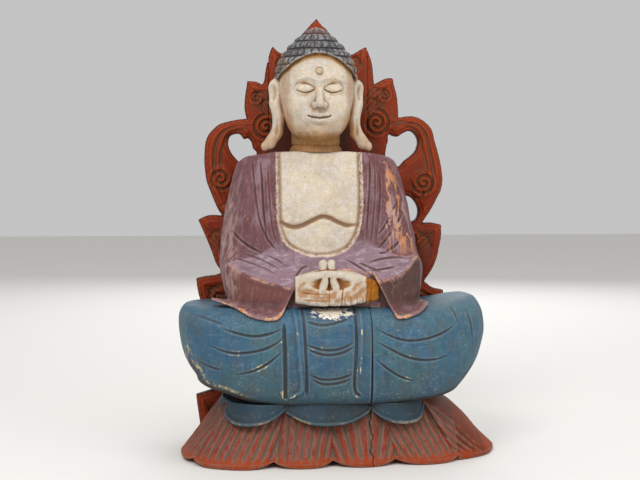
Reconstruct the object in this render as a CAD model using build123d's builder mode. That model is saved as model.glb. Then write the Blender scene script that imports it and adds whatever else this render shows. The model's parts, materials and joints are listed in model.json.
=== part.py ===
"""Seated carved figure on a lotus base, with a pierced flame panel behind it.

Millimetres. X runs to the viewer's right, the figure looks along -Y and Z is up.
The origin lies on the resting plane, under the middle of the figure.
Every timber is its own solid, and dowels, screws and glue faces hold them together.
"""
import os

from build123d import *

# ---- driving dimensions -------------------------------------------------------------
PANEL_FRONT = 66.0        # Y of the glue plane between the figure and the flame panel
PANEL_THICK = 24.0        # thickness of the panel boards
PANEL_CENTRE_X = 4.0
PANEL_FOOT = 5.0          # the panel stops short of the resting plane
PANEL_TOP = 599.0
PANEL_SEAM = 70.0         # half the width of the middle board

BASE_STEP_Z = 52.0        # top of the lower row of petals
BASE_TOP = 80.0           # glue plane between the base and the lap
LAP_TOP = 204.0           # glue plane between the lap and the torso
NECK_Z = 409.0            # glue plane between the torso and the neck
TIMBER_SEAM_X = 58.0      # the base and the lap are both glued up at this plane

HEAD_X = -7.0
HEAD_Y = -8.0
HEAD_TOP = 577.0
TORSO_X = -2.0
ARM_BACK = -24.0          # Y of the glue plane between the torso and the forearm blocks
CUFF_LEFT = -40.0         # X of the two glue planes at the ends of the hands
CUFF_RIGHT = 72.0
HANDS_Y = -84.0
WRIST_DOWEL_Y = -70.0     # deep enough to stay inside the sleeves

BATTEN_THICK = 12.0
BATTEN_HIGH = 34.0
BATTEN_UPPER_Z = 292.0
BATTEN_LOWER_Z = 126.0
SCREW_RADIUS = 2.5
SCREW_HEAD_RADIUS = 5.0
SCREW_LENGTH = 65.0
SCREW_SPREAD = (-60.0, -8.0, 44.0)

DOWEL_END_GAP = 1.0       # glue room at each end of a dowel hole

PANEL_BACK = PANEL_FRONT + PANEL_THICK
BATTEN_BACK = PANEL_BACK + BATTEN_THICK


def write(piece, name):
    """Label one finished piece and write its STEP file."""
    piece.label = name
    export_step(piece, f"parts/{name}.step")


def dowel_row(places, radius, length):
    """Dowels centred on the given planes, each along its plane's normal."""
    for place in places:
        with BuildSketch(place.offset(-length / 2)) as section:
            Circle(radius)
        extrude(section.sketch, amount=length)


def dowel_holes(places, radius, length):
    """Matching blind holes, a little longer than the dowels."""
    reach = length / 2 + DOWEL_END_GAP
    for place in places:
        with BuildSketch(place.offset(-reach)) as section:
            Circle(radius)
        extrude(section.sketch, amount=2 * reach, mode=Mode.SUBTRACT)


def trim(*planes):
    """Plane a timber flat, keeping what lies on each plane's inner side."""
    for plane in planes:
        split(bisect_by=plane, keep=Keep.TOP)


def upright(x, y, z):
    return Plane(origin=(x, y, z), z_dir=(0, 0, 1))


def sideways(x, y, z):
    return Plane(origin=(x, y, z), z_dir=(1, 0, 0))


def backward(x, y, z):
    return Plane(origin=(x, y, z), z_dir=(0, 1, 0))


PANEL_SIDE = Plane(origin=(0, PANEL_FRONT, 0), z_dir=(0, -1, 0))
BASE_SIDE = Plane.XY.offset(BASE_TOP)
TORSO_SIDE = Plane(origin=(0, 0, LAP_TOP), z_dir=(0, 0, -1))
LAP_SIDE = Plane.XY.offset(LAP_TOP)
NECK_SIDE = Plane(origin=(0, 0, NECK_Z), z_dir=(0, 0, -1))


# ---- dowel places -------------------------------------------------------------------
NECK_DOWEL = [upright(HEAD_X, HEAD_Y + 6, NECK_Z)]
TORSO_DOWELS = [upright(x, 20, LAP_TOP) for x in (-70, 66)]
LAP_DOWELS = [upright(x, y, BASE_TOP) for x, y in ((-90, 20), (0, -50), (110, 10))]
KNEE_DOWELS = [sideways(TIMBER_SEAM_X, y, 140) for y in (-60, 30)]
BASE_DOWELS = [sideways(TIMBER_SEAM_X, y, 30) for y in (-62, 34)]
FOREARM_DOWELS = [backward(x, ARM_BACK, 228) for x in (-98, 104)]
HAND_DOWELS = [sideways(x, WRIST_DOWEL_Y, 226) for x in (CUFF_LEFT, CUFF_RIGHT)]
BOARD_DOWELS = [
    sideways(PANEL_CENTRE_X + side * PANEL_SEAM, PANEL_FRONT + PANEL_THICK / 2, z)
    for side in (-1, 1)
    for z in (60, 180, 360)
]
SCREW_PLACES = [(x, BATTEN_UPPER_Z) for x in SCREW_SPREAD] + [(x, BATTEN_LOWER_Z) for x in SCREW_SPREAD]
WING_SCREW_PLACES = [
    (PANEL_CENTRE_X + side * 112.0, z) for side in (-1, 1) for z in (BATTEN_UPPER_Z, BATTEN_LOWER_Z)
]
WING_SCREW_LENGTH = 30.0


def screw_shape(x, z, length, mode=Mode.ADD, room=0.0):
    """A countersunk wood screw driven forward from the back of the batten."""
    head_depth = SCREW_HEAD_RADIUS - SCREW_RADIUS
    with BuildSketch(Plane(origin=(x, BATTEN_BACK, z), z_dir=(0, -1, 0))) as head:
        Circle(SCREW_HEAD_RADIUS)
    extrude(head.sketch, amount=head_depth, taper=44.9, mode=mode)
    with BuildSketch(Plane(origin=(x, BATTEN_BACK, z), z_dir=(0, -1, 0))) as shank:
        Circle(SCREW_RADIUS)
    extrude(shank.sketch, amount=length + room, mode=mode)


def screw_holes():
    for x, z in SCREW_PLACES:
        screw_shape(x, z, SCREW_LENGTH, Mode.SUBTRACT, DOWEL_END_GAP)
    for x, z in WING_SCREW_PLACES:
        screw_shape(x, z, WING_SCREW_LENGTH, Mode.SUBTRACT, DOWEL_END_GAP)


# ---- lotus base ---------------------------------------------------------------------
def petal_outline(corners, bulges):
    """Closed plan outline: a straight back, and one arc from corner to corner per petal."""
    for start, end, bulge in zip(corners, corners[1:], bulges):
        ThreePointArc(start, bulge, end)
    Line(corners[-1], corners[0])


def base_tier(z_low, low, z_high, high):
    """One row of petals, lofted from its wide foot to its narrow top."""
    with BuildSketch(Plane.XY.offset(z_low)) as foot:
        with BuildLine():
            petal_outline(*low)
        make_face()
    with BuildSketch(Plane.XY.offset(z_high)) as top:
        with BuildLine():
            petal_outline(*high)
        make_face()
    loft([foot.sketch, top.sketch], ruled=True)


LOWER_FOOT = (
    [(-164, PANEL_FRONT), (-172, -78), (-68, -110), (8, -108), (92, -101), (180, -82), (214, PANEL_FRONT)],
    [(-189, -10), (-122, -120), (-30, -120), (50, -116), (140, -106), (234, -20)],
)
LOWER_TOP = (
    [(-128, PANEL_FRONT), (-132, -62), (-60, -92), (6, -94), (82, -90), (146, -66), (158, PANEL_FRONT)],
    [(-146, 0), (-98, -92), (-28, -100), (44, -98), (116, -86), (176, 0)],
)
UPPER_FOOT = (
    [(-130, PANEL_FRONT), (-138, -66), (-54, -101), (58, -100), (138, -76), (150, PANEL_FRONT)],
    [(-148, 0), (-96, -110), (2, -115), (98, -106), (166, 0)],
)
UPPER_TOP = (
    [(-120, PANEL_FRONT), (-124, -60), (-50, -90), (54, -88), (126, -68), (140, PANEL_FRONT)],
    [(-134, 0), (-90, -94), (2, -98), (92, -92), (152, 0)],
)


def base_timber(keep):
    """The base's two rows of petals, cut at the timber seam."""
    base_tier(0, LOWER_FOOT, BASE_STEP_Z, LOWER_TOP)
    base_tier(BASE_STEP_Z, UPPER_FOOT, BASE_TOP, UPPER_TOP)
    split(bisect_by=Plane(origin=(TIMBER_SEAM_X, 0, 0), z_dir=(1, 0, 0)), keep=keep)
    dowel_holes(BASE_DOWELS, 5, 60)
    dowel_holes(LAP_DOWELS, 6, 60)


# ---- lap ----------------------------------------------------------------------------
# Height, left knee, right knee, front and the corner depth of each level of the folded legs.
LAP_LEVELS = [
    (BASE_TOP, -122, 138, -88, -56),
    (94, -158, 172, -108, -66),
    (132, -184, 208, -118, -70),
    (172, -190, 219, -115, -62),
    (196, -180, 212, -108, -50),
    (LAP_TOP, -166, 198, -100, -44),
]


def lap_section(level):
    z, left, right, front, corner = level
    with BuildSketch(Plane.XY.offset(z)) as section:
        with BuildLine():
            Line((right - 24, PANEL_FRONT), (left + 24, PANEL_FRONT))
            Spline(
                (left + 24, PANEL_FRONT),
                (left, 10),
                (left + 12, corner),
                (left + 74, front + 4),
                (TORSO_X, front),
                (right - 74, front + 4),
                (right - 12, corner),
                (right, 10),
                (right - 24, PANEL_FRONT),
            )
        make_face()
    return section.sketch


def lap_timber(keep):
    """The folded legs under the robe, cut at the timber seam."""
    loft([lap_section(level) for level in LAP_LEVELS])
    trim(BASE_SIDE, TORSO_SIDE, PANEL_SIDE)
    split(bisect_by=Plane(origin=(TIMBER_SEAM_X, 0, 0), z_dir=(1, 0, 0)), keep=keep)
    dowel_holes(KNEE_DOWELS, 5, 60)
    dowel_holes(LAP_DOWELS, 6, 60)
    dowel_holes(TORSO_DOWELS, 6, 60)
    screw_holes()


# ---- forearms, hands and torso ------------------------------------------------------
FOREARM_FRONT = -84.0


def forearm_block(front_view, mode=Mode.ADD):
    """A sleeve block: its front view, run from the elbow plane to the front of the cuff."""
    with BuildSketch(Plane.XZ.offset(-ARM_BACK)) as section:
        with BuildLine():
            Polyline(*front_view, close=True)
        make_face()
    extrude(section.sketch, amount=ARM_BACK - FOREARM_FRONT, mode=mode)


LEFT_SLEEVE = [(-132, LAP_TOP), (-134, 262), (-98, 252), (-62, 240), (CUFF_LEFT, 236), (CUFF_LEFT, LAP_TOP)]
RIGHT_SLEEVE = [(142, LAP_TOP), (135, 260), (104, 250), (CUFF_RIGHT, 243), (CUFF_RIGHT, LAP_TOP)]

# Distance along X, half depth and half height of each level of the folded hands.
HAND_LEVELS = [(CUFF_LEFT, 20, 20), (-16, 26, 24), (16, 28, 26), (48, 26, 25), (CUFF_RIGHT, 20, 21)]
HANDS_Z = 227.0


def hand_section(level):
    x, half_depth, half_height = level
    with BuildSketch(Plane(origin=(x, HANDS_Y, HANDS_Z), x_dir=(0, 1, 0), z_dir=(1, 0, 0))) as section:
        Ellipse(half_depth, half_height)
    return section.sketch


CHEST_DEPTH = 40.0        # the chest lies this far in front of the figure's middle

# Height, left side, right side, front and back of each level of the torso.
TORSO_LEVELS = [
    (LAP_TOP, -124, 128, -54, 64),
    (262, -134, 134, -52, 64),
    (335, -126, 122, -46, 64),
    (384, -112, 108, -40, 60),
    (402, -102, 98, -36, 54),
    (NECK_Z, -90, 84, -30, 46),
]


def torso_section(level):
    z, left, right, front, back = level
    with BuildSketch(Plane.XY.offset(z)) as section:
        with BuildLine():
            ThreePointArc((right - 30, back), (TORSO_X, back + 6), (left + 30, back))
            Spline(
                (left + 30, back),
                (left, 8),
                (left + 26, front + 6),
                (TORSO_X, front),
                (right - 26, front + 6),
                (right, 8),
                (right - 30, back),
            )
        make_face()
    return section.sketch


def carve_chest():
    """The tall U of the open robe, sunk a little into the chest."""
    with BuildSketch(Plane.XZ.offset(CHEST_DEPTH)) as opening:
        with BuildLine():
            Polyline((-50, NECK_Z + 2), (-58, 396), (-54, 300))
            ThreePointArc((-54, 300), (-4, 262), (44, 300))
            Polyline((44, 300), (50, 396), (42, NECK_Z + 2), (-50, NECK_Z + 2))
        make_face()
    extrude(opening.sketch, amount=40, mode=Mode.SUBTRACT)


# ---- head ---------------------------------------------------------------------------
# Height above the neck plane, half width and half depth of each level of the face.
FACE_LEVELS = [
    (12, 27, 34),
    (24, 37, 46),
    (52, 46, 53),
    (96, 48, 56),
    (122, 46, 55),
    (140, 36, 44),
]
HAIR_TIERS = 6
HAIR_LOW = 503.0
HAIR_RADIUS = 54.0


def face_and_neck():
    with BuildSketch(Plane.XY.offset(NECK_Z)) as neck:
        with Locations((HEAD_X, HEAD_Y + 6)):
            Ellipse(33, 28)
    extrude(neck.sketch, amount=30)
    sections = []
    for height, half_width, half_depth in FACE_LEVELS:
        with BuildSketch(Plane.XY.offset(NECK_Z + height)) as section:
            with Locations((HEAD_X, HEAD_Y)):
                Ellipse(half_width, half_depth)
        sections.append(section.sketch)
    loft(sections)


def hair_tiers():
    """Stepped rings of hair that rise to a small peak, higher at the front than at the back."""
    tier_high = (HEAD_TOP - HAIR_LOW) / HAIR_TIERS
    for tier in range(HAIR_TIERS):
        radius = HAIR_RADIUS * (1 - (tier / HAIR_TIERS) ** 2.2)
        with BuildSketch(Plane.XY.offset(HAIR_LOW + tier * tier_high)) as ring:
            with Locations((HEAD_X, HEAD_Y + 6)):
                Ellipse(radius, radius * 1.04)
        extrude(ring.sketch, amount=tier_high, taper=8)


def ear(side):
    """One long ear with its lobe flared out towards the shoulder."""
    with BuildSketch(Plane.XZ.offset(-12)) as outline:
        with BuildLine():
            Polyline(
                (HEAD_X + side * 42, 508),
                (HEAD_X + side * 55, 510),
                (HEAD_X + side * 60, 494),
                (HEAD_X + side * 54, 445),
                (HEAD_X + side * 60, 428),
                (HEAD_X + side * 73, 412),
                (HEAD_X + side * 58, 411),
                (HEAD_X + side * 42, 432),
                close=True,
            )
        make_face()
    extrude(outline.sketch, amount=18)


def nose():
    with BuildSketch(Plane.XY.offset(NECK_Z + 58)) as low:
        with Locations((HEAD_X, HEAD_Y - 50)):
            Ellipse(9, 14)
    with BuildSketch(Plane.XY.offset(NECK_Z + 92)) as high:
        with Locations((HEAD_X, HEAD_Y - 50)):
            Ellipse(5, 6)
    loft([low.sketch, high.sketch])


URNA_Z = NECK_Z + 105.0
URNA_BACK = HEAD_Y - 46.0
URNA_FRONT = HEAD_Y - 59.0
URNA_RADIUS = 4.0


def urna_pin(mode=Mode.ADD):
    with BuildSketch(Plane(origin=(HEAD_X, URNA_BACK, URNA_Z), z_dir=(0, -1, 0))) as pin:
        Circle(URNA_RADIUS)
    extrude(pin.sketch, amount=URNA_BACK - URNA_FRONT, mode=mode)


# ---- flame panel --------------------------------------------------------------------
# Right half of the panel's edge from the top tip to the foot, as distances from the panel's
# centre line and heights. Each leaf is an arc up to its tip and an arc back down to its notch.
PANEL_EDGE = [
    (0, PANEL_TOP), (12, 588), (36, 548),
    (50, 552), (68, 559),
    (76, 538), (80, 506),
    (90, 511), (104, 513),
    (112, 484), (109, 458),
    (148, 447), (171, 400),
    (170, 352), (144, 318),
    (158, 320), (177, 312),
    (168, 270), (148, 232),
    (160, 234), (179, 226),
    (174, 202), (154, 186),
    (166, 184), (178, 176),
    (176, 148), (156, 128),
    (166, 123), (176, 112),
    (172, 88), (152, 74),
    (163, 70), (174, 62),
    (174, 36), (164, PANEL_FOOT),
]
LOOP_HOLE_Z = 414.0
LOOP_HOLES = ((-107.0, 20.0), (120.0, 23.0))    # distance from the centre line, radius
SMALL_HOLE_X = 137.0
SMALL_HOLE_Z = 328.0


def panel_face():
    """The whole panel's outline with its pierced loops."""
    with BuildLine() as rim:
        for side in (-1, 1):
            edge = [(PANEL_CENTRE_X + side * x, z) for x, z in PANEL_EDGE]
            for start, middle, end in zip(edge[0::2], edge[1::2], edge[2::2]):
                ThreePointArc(start, middle, end)
        Line(
            (PANEL_CENTRE_X - PANEL_EDGE[-1][0], PANEL_FOOT),
            (PANEL_CENTRE_X + PANEL_EDGE[-1][0], PANEL_FOOT),
        )
    make_face(rim.edges())
    for x, radius in LOOP_HOLES:
        with Locations((PANEL_CENTRE_X + x, LOOP_HOLE_Z)):
            Circle(radius, mode=Mode.SUBTRACT)
    with Locations((SMALL_HOLE_X, SMALL_HOLE_Z)):
        Ellipse(9, 17, mode=Mode.SUBTRACT)


def panel_board(x_low, x_high):
    """One upright board of the panel, from seam to seam."""
    with BuildSketch(Plane.XZ.offset(-PANEL_BACK)) as face:
        panel_face()
        with Locations(((x_low + x_high) / 2, PANEL_TOP / 2)):
            Rectangle(x_high - x_low, PANEL_TOP + 20, mode=Mode.INTERSECT)
    extrude(face.sketch, amount=PANEL_THICK)
    dowel_holes(BOARD_DOWELS, 4, 50)
    screw_holes()


def batten(z, half_width):
    """A flat rail across the back of the three boards."""
    with BuildSketch(Plane.XZ.offset(-BATTEN_BACK)) as face:
        with Locations((PANEL_CENTRE_X, z)):
            Rectangle(2 * half_width, BATTEN_HIGH)
    extrude(face.sketch, amount=BATTEN_THICK)
    screw_holes()


# ---- make and write every piece -----------------------------------------------------
os.makedirs("parts", exist_ok=True)

with BuildPart() as base_main:
    base_timber(Keep.BOTTOM)
write(base_main.part, "base_main_timber")

with BuildPart() as base_side:
    base_timber(Keep.TOP)
write(base_side.part, "base_side_timber")

with BuildPart() as lap_main:
    lap_timber(Keep.BOTTOM)
write(lap_main.part, "lap_main_timber")

with BuildPart() as lap_side:
    lap_timber(Keep.TOP)
write(lap_side.part, "lap_knee_timber")

with BuildPart() as forearm_left:
    forearm_block(LEFT_SLEEVE)
    dowel_holes(FOREARM_DOWELS, 5, 44)
    dowel_holes(HAND_DOWELS, 3, 30)
write(forearm_left.part, "forearm_left")

with BuildPart() as forearm_right:
    forearm_block(RIGHT_SLEEVE)
    dowel_holes(FOREARM_DOWELS, 5, 44)
    dowel_holes(HAND_DOWELS, 3, 30)
write(forearm_right.part, "forearm_right")

with BuildPart() as hands:
    loft([hand_section(level) for level in HAND_LEVELS])
    trim(LAP_SIDE)
    dowel_holes(HAND_DOWELS, 3, 30)
write(hands.part, "hands")

with BuildPart() as torso:
    loft([torso_section(level) for level in TORSO_LEVELS])
    trim(LAP_SIDE, NECK_SIDE, PANEL_SIDE)
    carve_chest()
    forearm_block(LEFT_SLEEVE, Mode.SUBTRACT)
    forearm_block(RIGHT_SLEEVE, Mode.SUBTRACT)
    dowel_holes(NECK_DOWEL, 8, 50)
    dowel_holes(TORSO_DOWELS, 6, 60)
    dowel_holes(FOREARM_DOWELS, 5, 44)
    screw_holes()
write(torso.part, "torso")

with BuildPart() as head:
    face_and_neck()
    hair_tiers()
    ear(-1)
    ear(1)
    nose()
    urna_pin(Mode.SUBTRACT)
    dowel_holes(NECK_DOWEL, 8, 50)
write(head.part, "head")

with BuildPart() as urna:
    urna_pin()
write(urna.part, "forehead_stud")

SEAM_LEFT = PANEL_CENTRE_X - PANEL_SEAM
SEAM_RIGHT = PANEL_CENTRE_X + PANEL_SEAM
BOARDS = {
    "panel_board_left": (SEAM_LEFT - 120, SEAM_LEFT),
    "panel_board_middle": (SEAM_LEFT, SEAM_RIGHT),
    "panel_board_right": (SEAM_RIGHT, SEAM_RIGHT + 120),
}
for name, (x_low, x_high) in BOARDS.items():
    with BuildPart() as board:
        panel_board(x_low, x_high)
    write(board.part, name)

for name, z, half_width in (
    ("rear_batten_upper", BATTEN_UPPER_Z, 130.0),
    ("rear_batten_lower", BATTEN_LOWER_Z, 140.0),
):
    with BuildPart() as rail:
        batten(z, half_width)
    write(rail.part, name)

with BuildPart() as long_screws:
    for x, z in SCREW_PLACES:
        screw_shape(x, z, SCREW_LENGTH)
write(long_screws.part, "figure_screws")

with BuildPart() as short_screws:
    for x, z in WING_SCREW_PLACES:
        screw_shape(x, z, WING_SCREW_LENGTH)
write(short_screws.part, "wing_screws")

DOWELS = {
    "neck_dowel": (NECK_DOWEL, 8, 50),
    "torso_dowels": (TORSO_DOWELS, 6, 60),
    "lap_dowels": (LAP_DOWELS, 6, 60),
    "knee_seam_dowels": (KNEE_DOWELS, 5, 60),
    "base_seam_dowels": (BASE_DOWELS, 5, 60),
    "elbow_dowels": (FOREARM_DOWELS, 5, 44),
    "wrist_dowels": (HAND_DOWELS, 3, 30),
    "panel_dowels": (BOARD_DOWELS, 4, 50),
}
for name, (places, radius, length) in DOWELS.items():
    with BuildPart() as pegs:
        dowel_row(places, radius, length)
    write(pegs.part, name)
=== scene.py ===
"""Looks of a carved and painted wooden figure on a lotus base, with a flame panel behind it.

Every form is carved in code: a field is negative inside the wood and positive outside, and a
mesh is drawn over the surface where it is zero. Fields and carved maps are in millimetres in
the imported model's frame; meshes are handed to Blender in metres.
"""
import json
import math

import bpy
import mathutils
import numpy as np
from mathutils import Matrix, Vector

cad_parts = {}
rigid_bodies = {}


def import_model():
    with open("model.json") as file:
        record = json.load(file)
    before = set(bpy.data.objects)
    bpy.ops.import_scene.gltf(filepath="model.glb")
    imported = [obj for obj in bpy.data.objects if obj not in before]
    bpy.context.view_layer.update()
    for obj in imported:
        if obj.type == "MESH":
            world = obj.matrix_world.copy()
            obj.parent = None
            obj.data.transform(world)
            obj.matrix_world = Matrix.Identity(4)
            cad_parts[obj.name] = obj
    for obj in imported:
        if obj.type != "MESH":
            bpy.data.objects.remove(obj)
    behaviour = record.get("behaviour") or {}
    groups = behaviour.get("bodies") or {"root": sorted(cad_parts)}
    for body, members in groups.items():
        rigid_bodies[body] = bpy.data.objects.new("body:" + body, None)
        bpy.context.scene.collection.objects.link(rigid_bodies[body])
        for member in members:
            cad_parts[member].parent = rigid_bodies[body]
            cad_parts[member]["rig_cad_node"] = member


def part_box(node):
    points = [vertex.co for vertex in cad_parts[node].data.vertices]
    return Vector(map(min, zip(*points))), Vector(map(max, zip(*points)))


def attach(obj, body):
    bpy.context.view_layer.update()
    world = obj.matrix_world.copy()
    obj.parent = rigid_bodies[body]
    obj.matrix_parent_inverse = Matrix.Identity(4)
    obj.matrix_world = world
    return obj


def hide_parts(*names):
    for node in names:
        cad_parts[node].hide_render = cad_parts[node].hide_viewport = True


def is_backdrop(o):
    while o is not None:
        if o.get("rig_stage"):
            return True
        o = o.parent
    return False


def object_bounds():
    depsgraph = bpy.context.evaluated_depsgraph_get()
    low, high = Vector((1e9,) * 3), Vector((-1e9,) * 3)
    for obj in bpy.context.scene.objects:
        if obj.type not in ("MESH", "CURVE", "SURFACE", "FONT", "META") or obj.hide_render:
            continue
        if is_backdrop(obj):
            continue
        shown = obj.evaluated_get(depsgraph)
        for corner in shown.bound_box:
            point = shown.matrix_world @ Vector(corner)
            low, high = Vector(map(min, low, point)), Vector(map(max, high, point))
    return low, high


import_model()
cad_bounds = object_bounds()

MM = 0.001


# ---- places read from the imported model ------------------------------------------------
def box_mm(node):
    """Lowest and highest corner of a node, in millimetres."""
    low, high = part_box(node)
    return np.array(low) / MM, np.array(high) / MM


BASE_TOP, LAP_TOP, NECK_Z, HEAD_TOP = (
    box_mm(node)[1][2] for node in ("base_main_timber", "lap_main_timber", "torso", "head")
)
SEAM_X = box_mm("base_side_timber")[0][0]
(SEAM_LEFT, PANEL_FRONT, PANEL_FOOT), (SEAM_RIGHT, PANEL_BACK, _) = box_mm("panel_board_middle")
ARM_BACK = box_mm("forearm_left")[1][1]
CUFF_LEFT, CUFF_RIGHT = (corner[0] for corner in box_mm("hands"))
STUD_LOW, STUD_HIGH = box_mm("forehead_stud")
HEAD_X = sum(corner[0] for corner in box_mm("head")) / 2 + 1.0
OVERLAP = 0.8             # how far one carved piece runs into the next, so that no light shows


# ---- carving tools --------------------------------------------------------------------
def smax(a, b, r):
    """The larger of two fields, with a rounded edge of about radius r."""
    h = np.maximum(r - np.abs(a - b), 0)
    return np.maximum(a, b) + h * h / (4 * r)


def smin(a, b, r):
    """The smaller of two fields, with a soft fillet of about radius r."""
    h = np.maximum(r - np.abs(a - b), 0)
    return np.minimum(a, b) - h * h / (4 * r)


def ramp(value, start, end):
    """0 at start, 1 at end, smooth between."""
    t = np.clip((value - start) / (end - start), 0, 1)
    return t * t * (3 - 2 * t)


def bell(value, width):
    """1 where the value is 0, falling off to nothing over about twice the width."""
    return np.exp(-((value / width) ** 2))


def ellipsoid(x, y, z, centre, radii):
    """About the distance to an ellipsoid."""
    scaled = [(v - c) / r for v, c, r in zip((x, y, z), centre, radii)]
    k0 = np.sqrt(sum(v * v for v in scaled)) + 1e-6
    k1 = np.sqrt(sum((v / r) ** 2 for v, r in zip(scaled, radii))) + 1e-9
    return k0 * (k0 - 1) / k1


def grow(d, x, y, z, forms):
    """Blend ellipsoids into the field d, each given by its centre, radii and fillet."""
    for centre, radii, fillet in forms:
        d = smin(d, ellipsoid(x, y, z, centre, radii), fillet)
    return d


def limb(x, y, z, start, end, r_start, r_end):
    """A round bar from start to end, with a different radius at each end."""
    a = np.array(start, np.float32)
    d = np.array(end, np.float32) - a
    t = ((x - a[0]) * d[0] + (y - a[1]) * d[1] + (z - a[2]) * d[2]) / float(d @ d)
    t = np.clip(t, 0, 1)
    qx, qy, qz = x - a[0] - t * d[0], y - a[1] - t * d[1], z - a[2] - t * d[2]
    return np.sqrt(qx * qx + qy * qy + qz * qz) - (r_start + (r_end - r_start) * t)


def wobble(x, y, z, size, seed):
    """Slow, hand-made unevenness between about -1 and 1."""
    rng = np.random.default_rng(seed)
    total = 0
    for _ in range(5):
        d = rng.normal(size=3)
        d *= 2 * math.pi / (np.linalg.norm(d) * size * rng.uniform(0.7, 1.5))
        total = total + np.sin(x * d[0] + y * d[1] + z * d[2] + rng.uniform(0, 6.3))
    return total / 3


def smooth_path(points, closed=False, parts=10):
    """A smooth curve through given points."""
    p = np.array(points, float)
    ends = (p[-1], p[:2]) if closed else (2 * p[0] - p[1], 2 * p[-1] - p[-2])
    p = np.vstack([ends[0], p, ends[1]])
    t = np.linspace(0, 1, parts, endpoint=False)[:, None]
    out = [
        0.5 * (2 * b + (c - a) * t + (2 * a - 5 * b + 4 * c - d) * t**2 + (3 * b - a - 3 * c + d) * t**3)
        for a, b, c, d in zip(p, p[1:], p[2:], p[3:])
    ]
    return np.vstack(out if closed else [*out, p[-2]])


def profile(heights, values, soft=6.0):
    """A smooth function of height through given values."""
    h = np.linspace(heights[0] - 40, heights[-1] + 40, 600)
    v = np.interp(h, heights, values)
    k = np.exp(-0.5 * ((np.arange(-60, 61) * (h[1] - h[0])) / soft) ** 2)
    pad = np.pad(v, 60, mode="edge")
    v = np.convolve(pad, k / k.sum(), mode="valid")
    return lambda z: np.interp(z, h, v).astype(np.float32)


def spiral(centre, radius, turns, start_angle, hand):
    """Points of a spiral that winds in from its outer radius to an eighth of it."""
    t = np.linspace(0, 1, int(14 * turns) + 2)
    angle = start_angle + hand * t * turns * 2 * math.pi
    r = radius * (1 - 0.88 * t)
    return np.stack([centre[0] + r * np.cos(angle), centre[1] + r * np.sin(angle)], 1)


class Relief:
    """A map over X and Z that a gouge draws on: height above the ground, and where it cut."""

    def __init__(self, x_low, x_high, z_low, z_high, step):
        self.origin = (x_low, z_low)
        self.step = step
        shape = (int((x_high - x_low) / step) + 1, int((z_high - z_low) / step) + 1)
        self.x = (x_low + step * np.arange(shape[0], dtype=np.float32))[:, None]
        self.z = (z_low + step * np.arange(shape[1], dtype=np.float32))[None, :]
        self.height = np.zeros(shape, np.float32)
        self.cut = np.zeros(shape, np.float32)

    def window(self, low, high):
        """Slices of the map that cover a box."""
        slices = []
        for a, count in enumerate(self.height.shape):
            start = max(int((low[a] - self.origin[a]) / self.step), 0)
            stop = min(int((high[a] - self.origin[a]) / self.step) + 2, count)
            slices.append(slice(start, max(stop, start)))
        return tuple(slices)

    def distance(self, path, reach):
        """Distance to a path inside its window, and how far along the path the nearest point is."""
        path = np.asarray(path, np.float32)
        w = self.window(path.min(0) - reach, path.max(0) + reach)
        shape = self.height[w].shape
        dist = np.full(shape, 1e3, np.float32)
        along = np.zeros(shape, np.float32)
        x, z = self.x[w[0]], self.z[:, w[1]]
        count = len(path) - 1
        for i, (a, b) in enumerate(zip(path, path[1:])):
            s = self.window(np.minimum(a, b) - reach, np.maximum(a, b) + reach)
            s = tuple(slice(q.start - o.start, q.stop - o.start) for q, o in zip(s, w))
            xx, zz = x[s[0]] - a[0], z[:, s[1]] - a[1]
            d = b - a
            t = np.clip((xx * d[0] + zz * d[1]) / max(float(d @ d), 1e-6), 0, 1)
            q = np.sqrt((xx - t * d[0]) ** 2 + (zz - t * d[1]) ** 2)
            near = q < dist[s]
            dist[s] = np.where(near, q, dist[s])
            along[s] = np.where(near, (i + t) / count, along[s])
        return w, dist, along

    def stroke(self, points, width, depth, ends=(0.25, 0.25), sharp=0.6, smooth=True, mark=1.0):
        """Draw one gouge cut (depth > 0) or one raised bead (depth < 0) along the points."""
        path = smooth_path(points) if smooth else np.asarray(points, float)
        w, dist, along = self.distance(path, width + self.step)
        fade = np.ones_like(along)
        for share, end in zip((along, 1 - along), ends):
            if end:
                fade *= np.clip(share / end, 0, 1) ** 0.6
        p = np.clip(1 - dist / (width * (0.35 + 0.65 * fade)), 0, 1)
        p = sharp * p + (1 - sharp) * p * p * (3 - 2 * p)
        self.height[w] -= depth * fade * p
        self.cut[w] = np.maximum(self.cut[w], mark * fade * np.clip(1.25 * p, 0, 1))

    def inside(self, outline, reach=14.0):
        """Signed distance to a smooth closed outline, negative inside, true up to the reach."""
        path = smooth_path(outline, closed=True, parts=8)
        return self.inside_path(np.vstack([path, path[0]]), reach)

    def inside_path(self, path, reach):
        """The same for a ready path that ends where it starts."""
        w, dist, _ = self.distance(path, reach)
        d = np.full(self.height.shape, reach, np.float32)
        d[w] = np.minimum(dist, reach)
        odd = np.zeros(self.height.shape, bool)
        for a, b in zip(path, path[1:]):
            if a[1] == b[1]:
                continue
            cols = np.nonzero((self.z[0] > min(a[1], b[1])) & (self.z[0] <= max(a[1], b[1])))[0]
            cross = a[0] + (self.z[0, cols] - a[1]) * (b[0] - a[0]) / (b[1] - a[1])
            odd[:, cols] ^= self.x < cross[None, :]
        return np.where(odd, -d, d)

    def read(self, name, x, z):
        """Read a layer of the map at any points."""
        layer = getattr(self, name)
        u = np.clip((x - self.origin[0]) / self.step, 0, layer.shape[0] - 1.001)
        v = np.clip((z - self.origin[1]) / self.step, 0, layer.shape[1] - 1.001)
        i, j = u.astype(np.int32), v.astype(np.int32)
        u, v = u - i, v - j
        top = layer[i, j] * (1 - u) + layer[i + 1, j] * u
        end = layer[i, j + 1] * (1 - u) + layer[i + 1, j + 1] * u
        return top * (1 - v) + end * v


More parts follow.
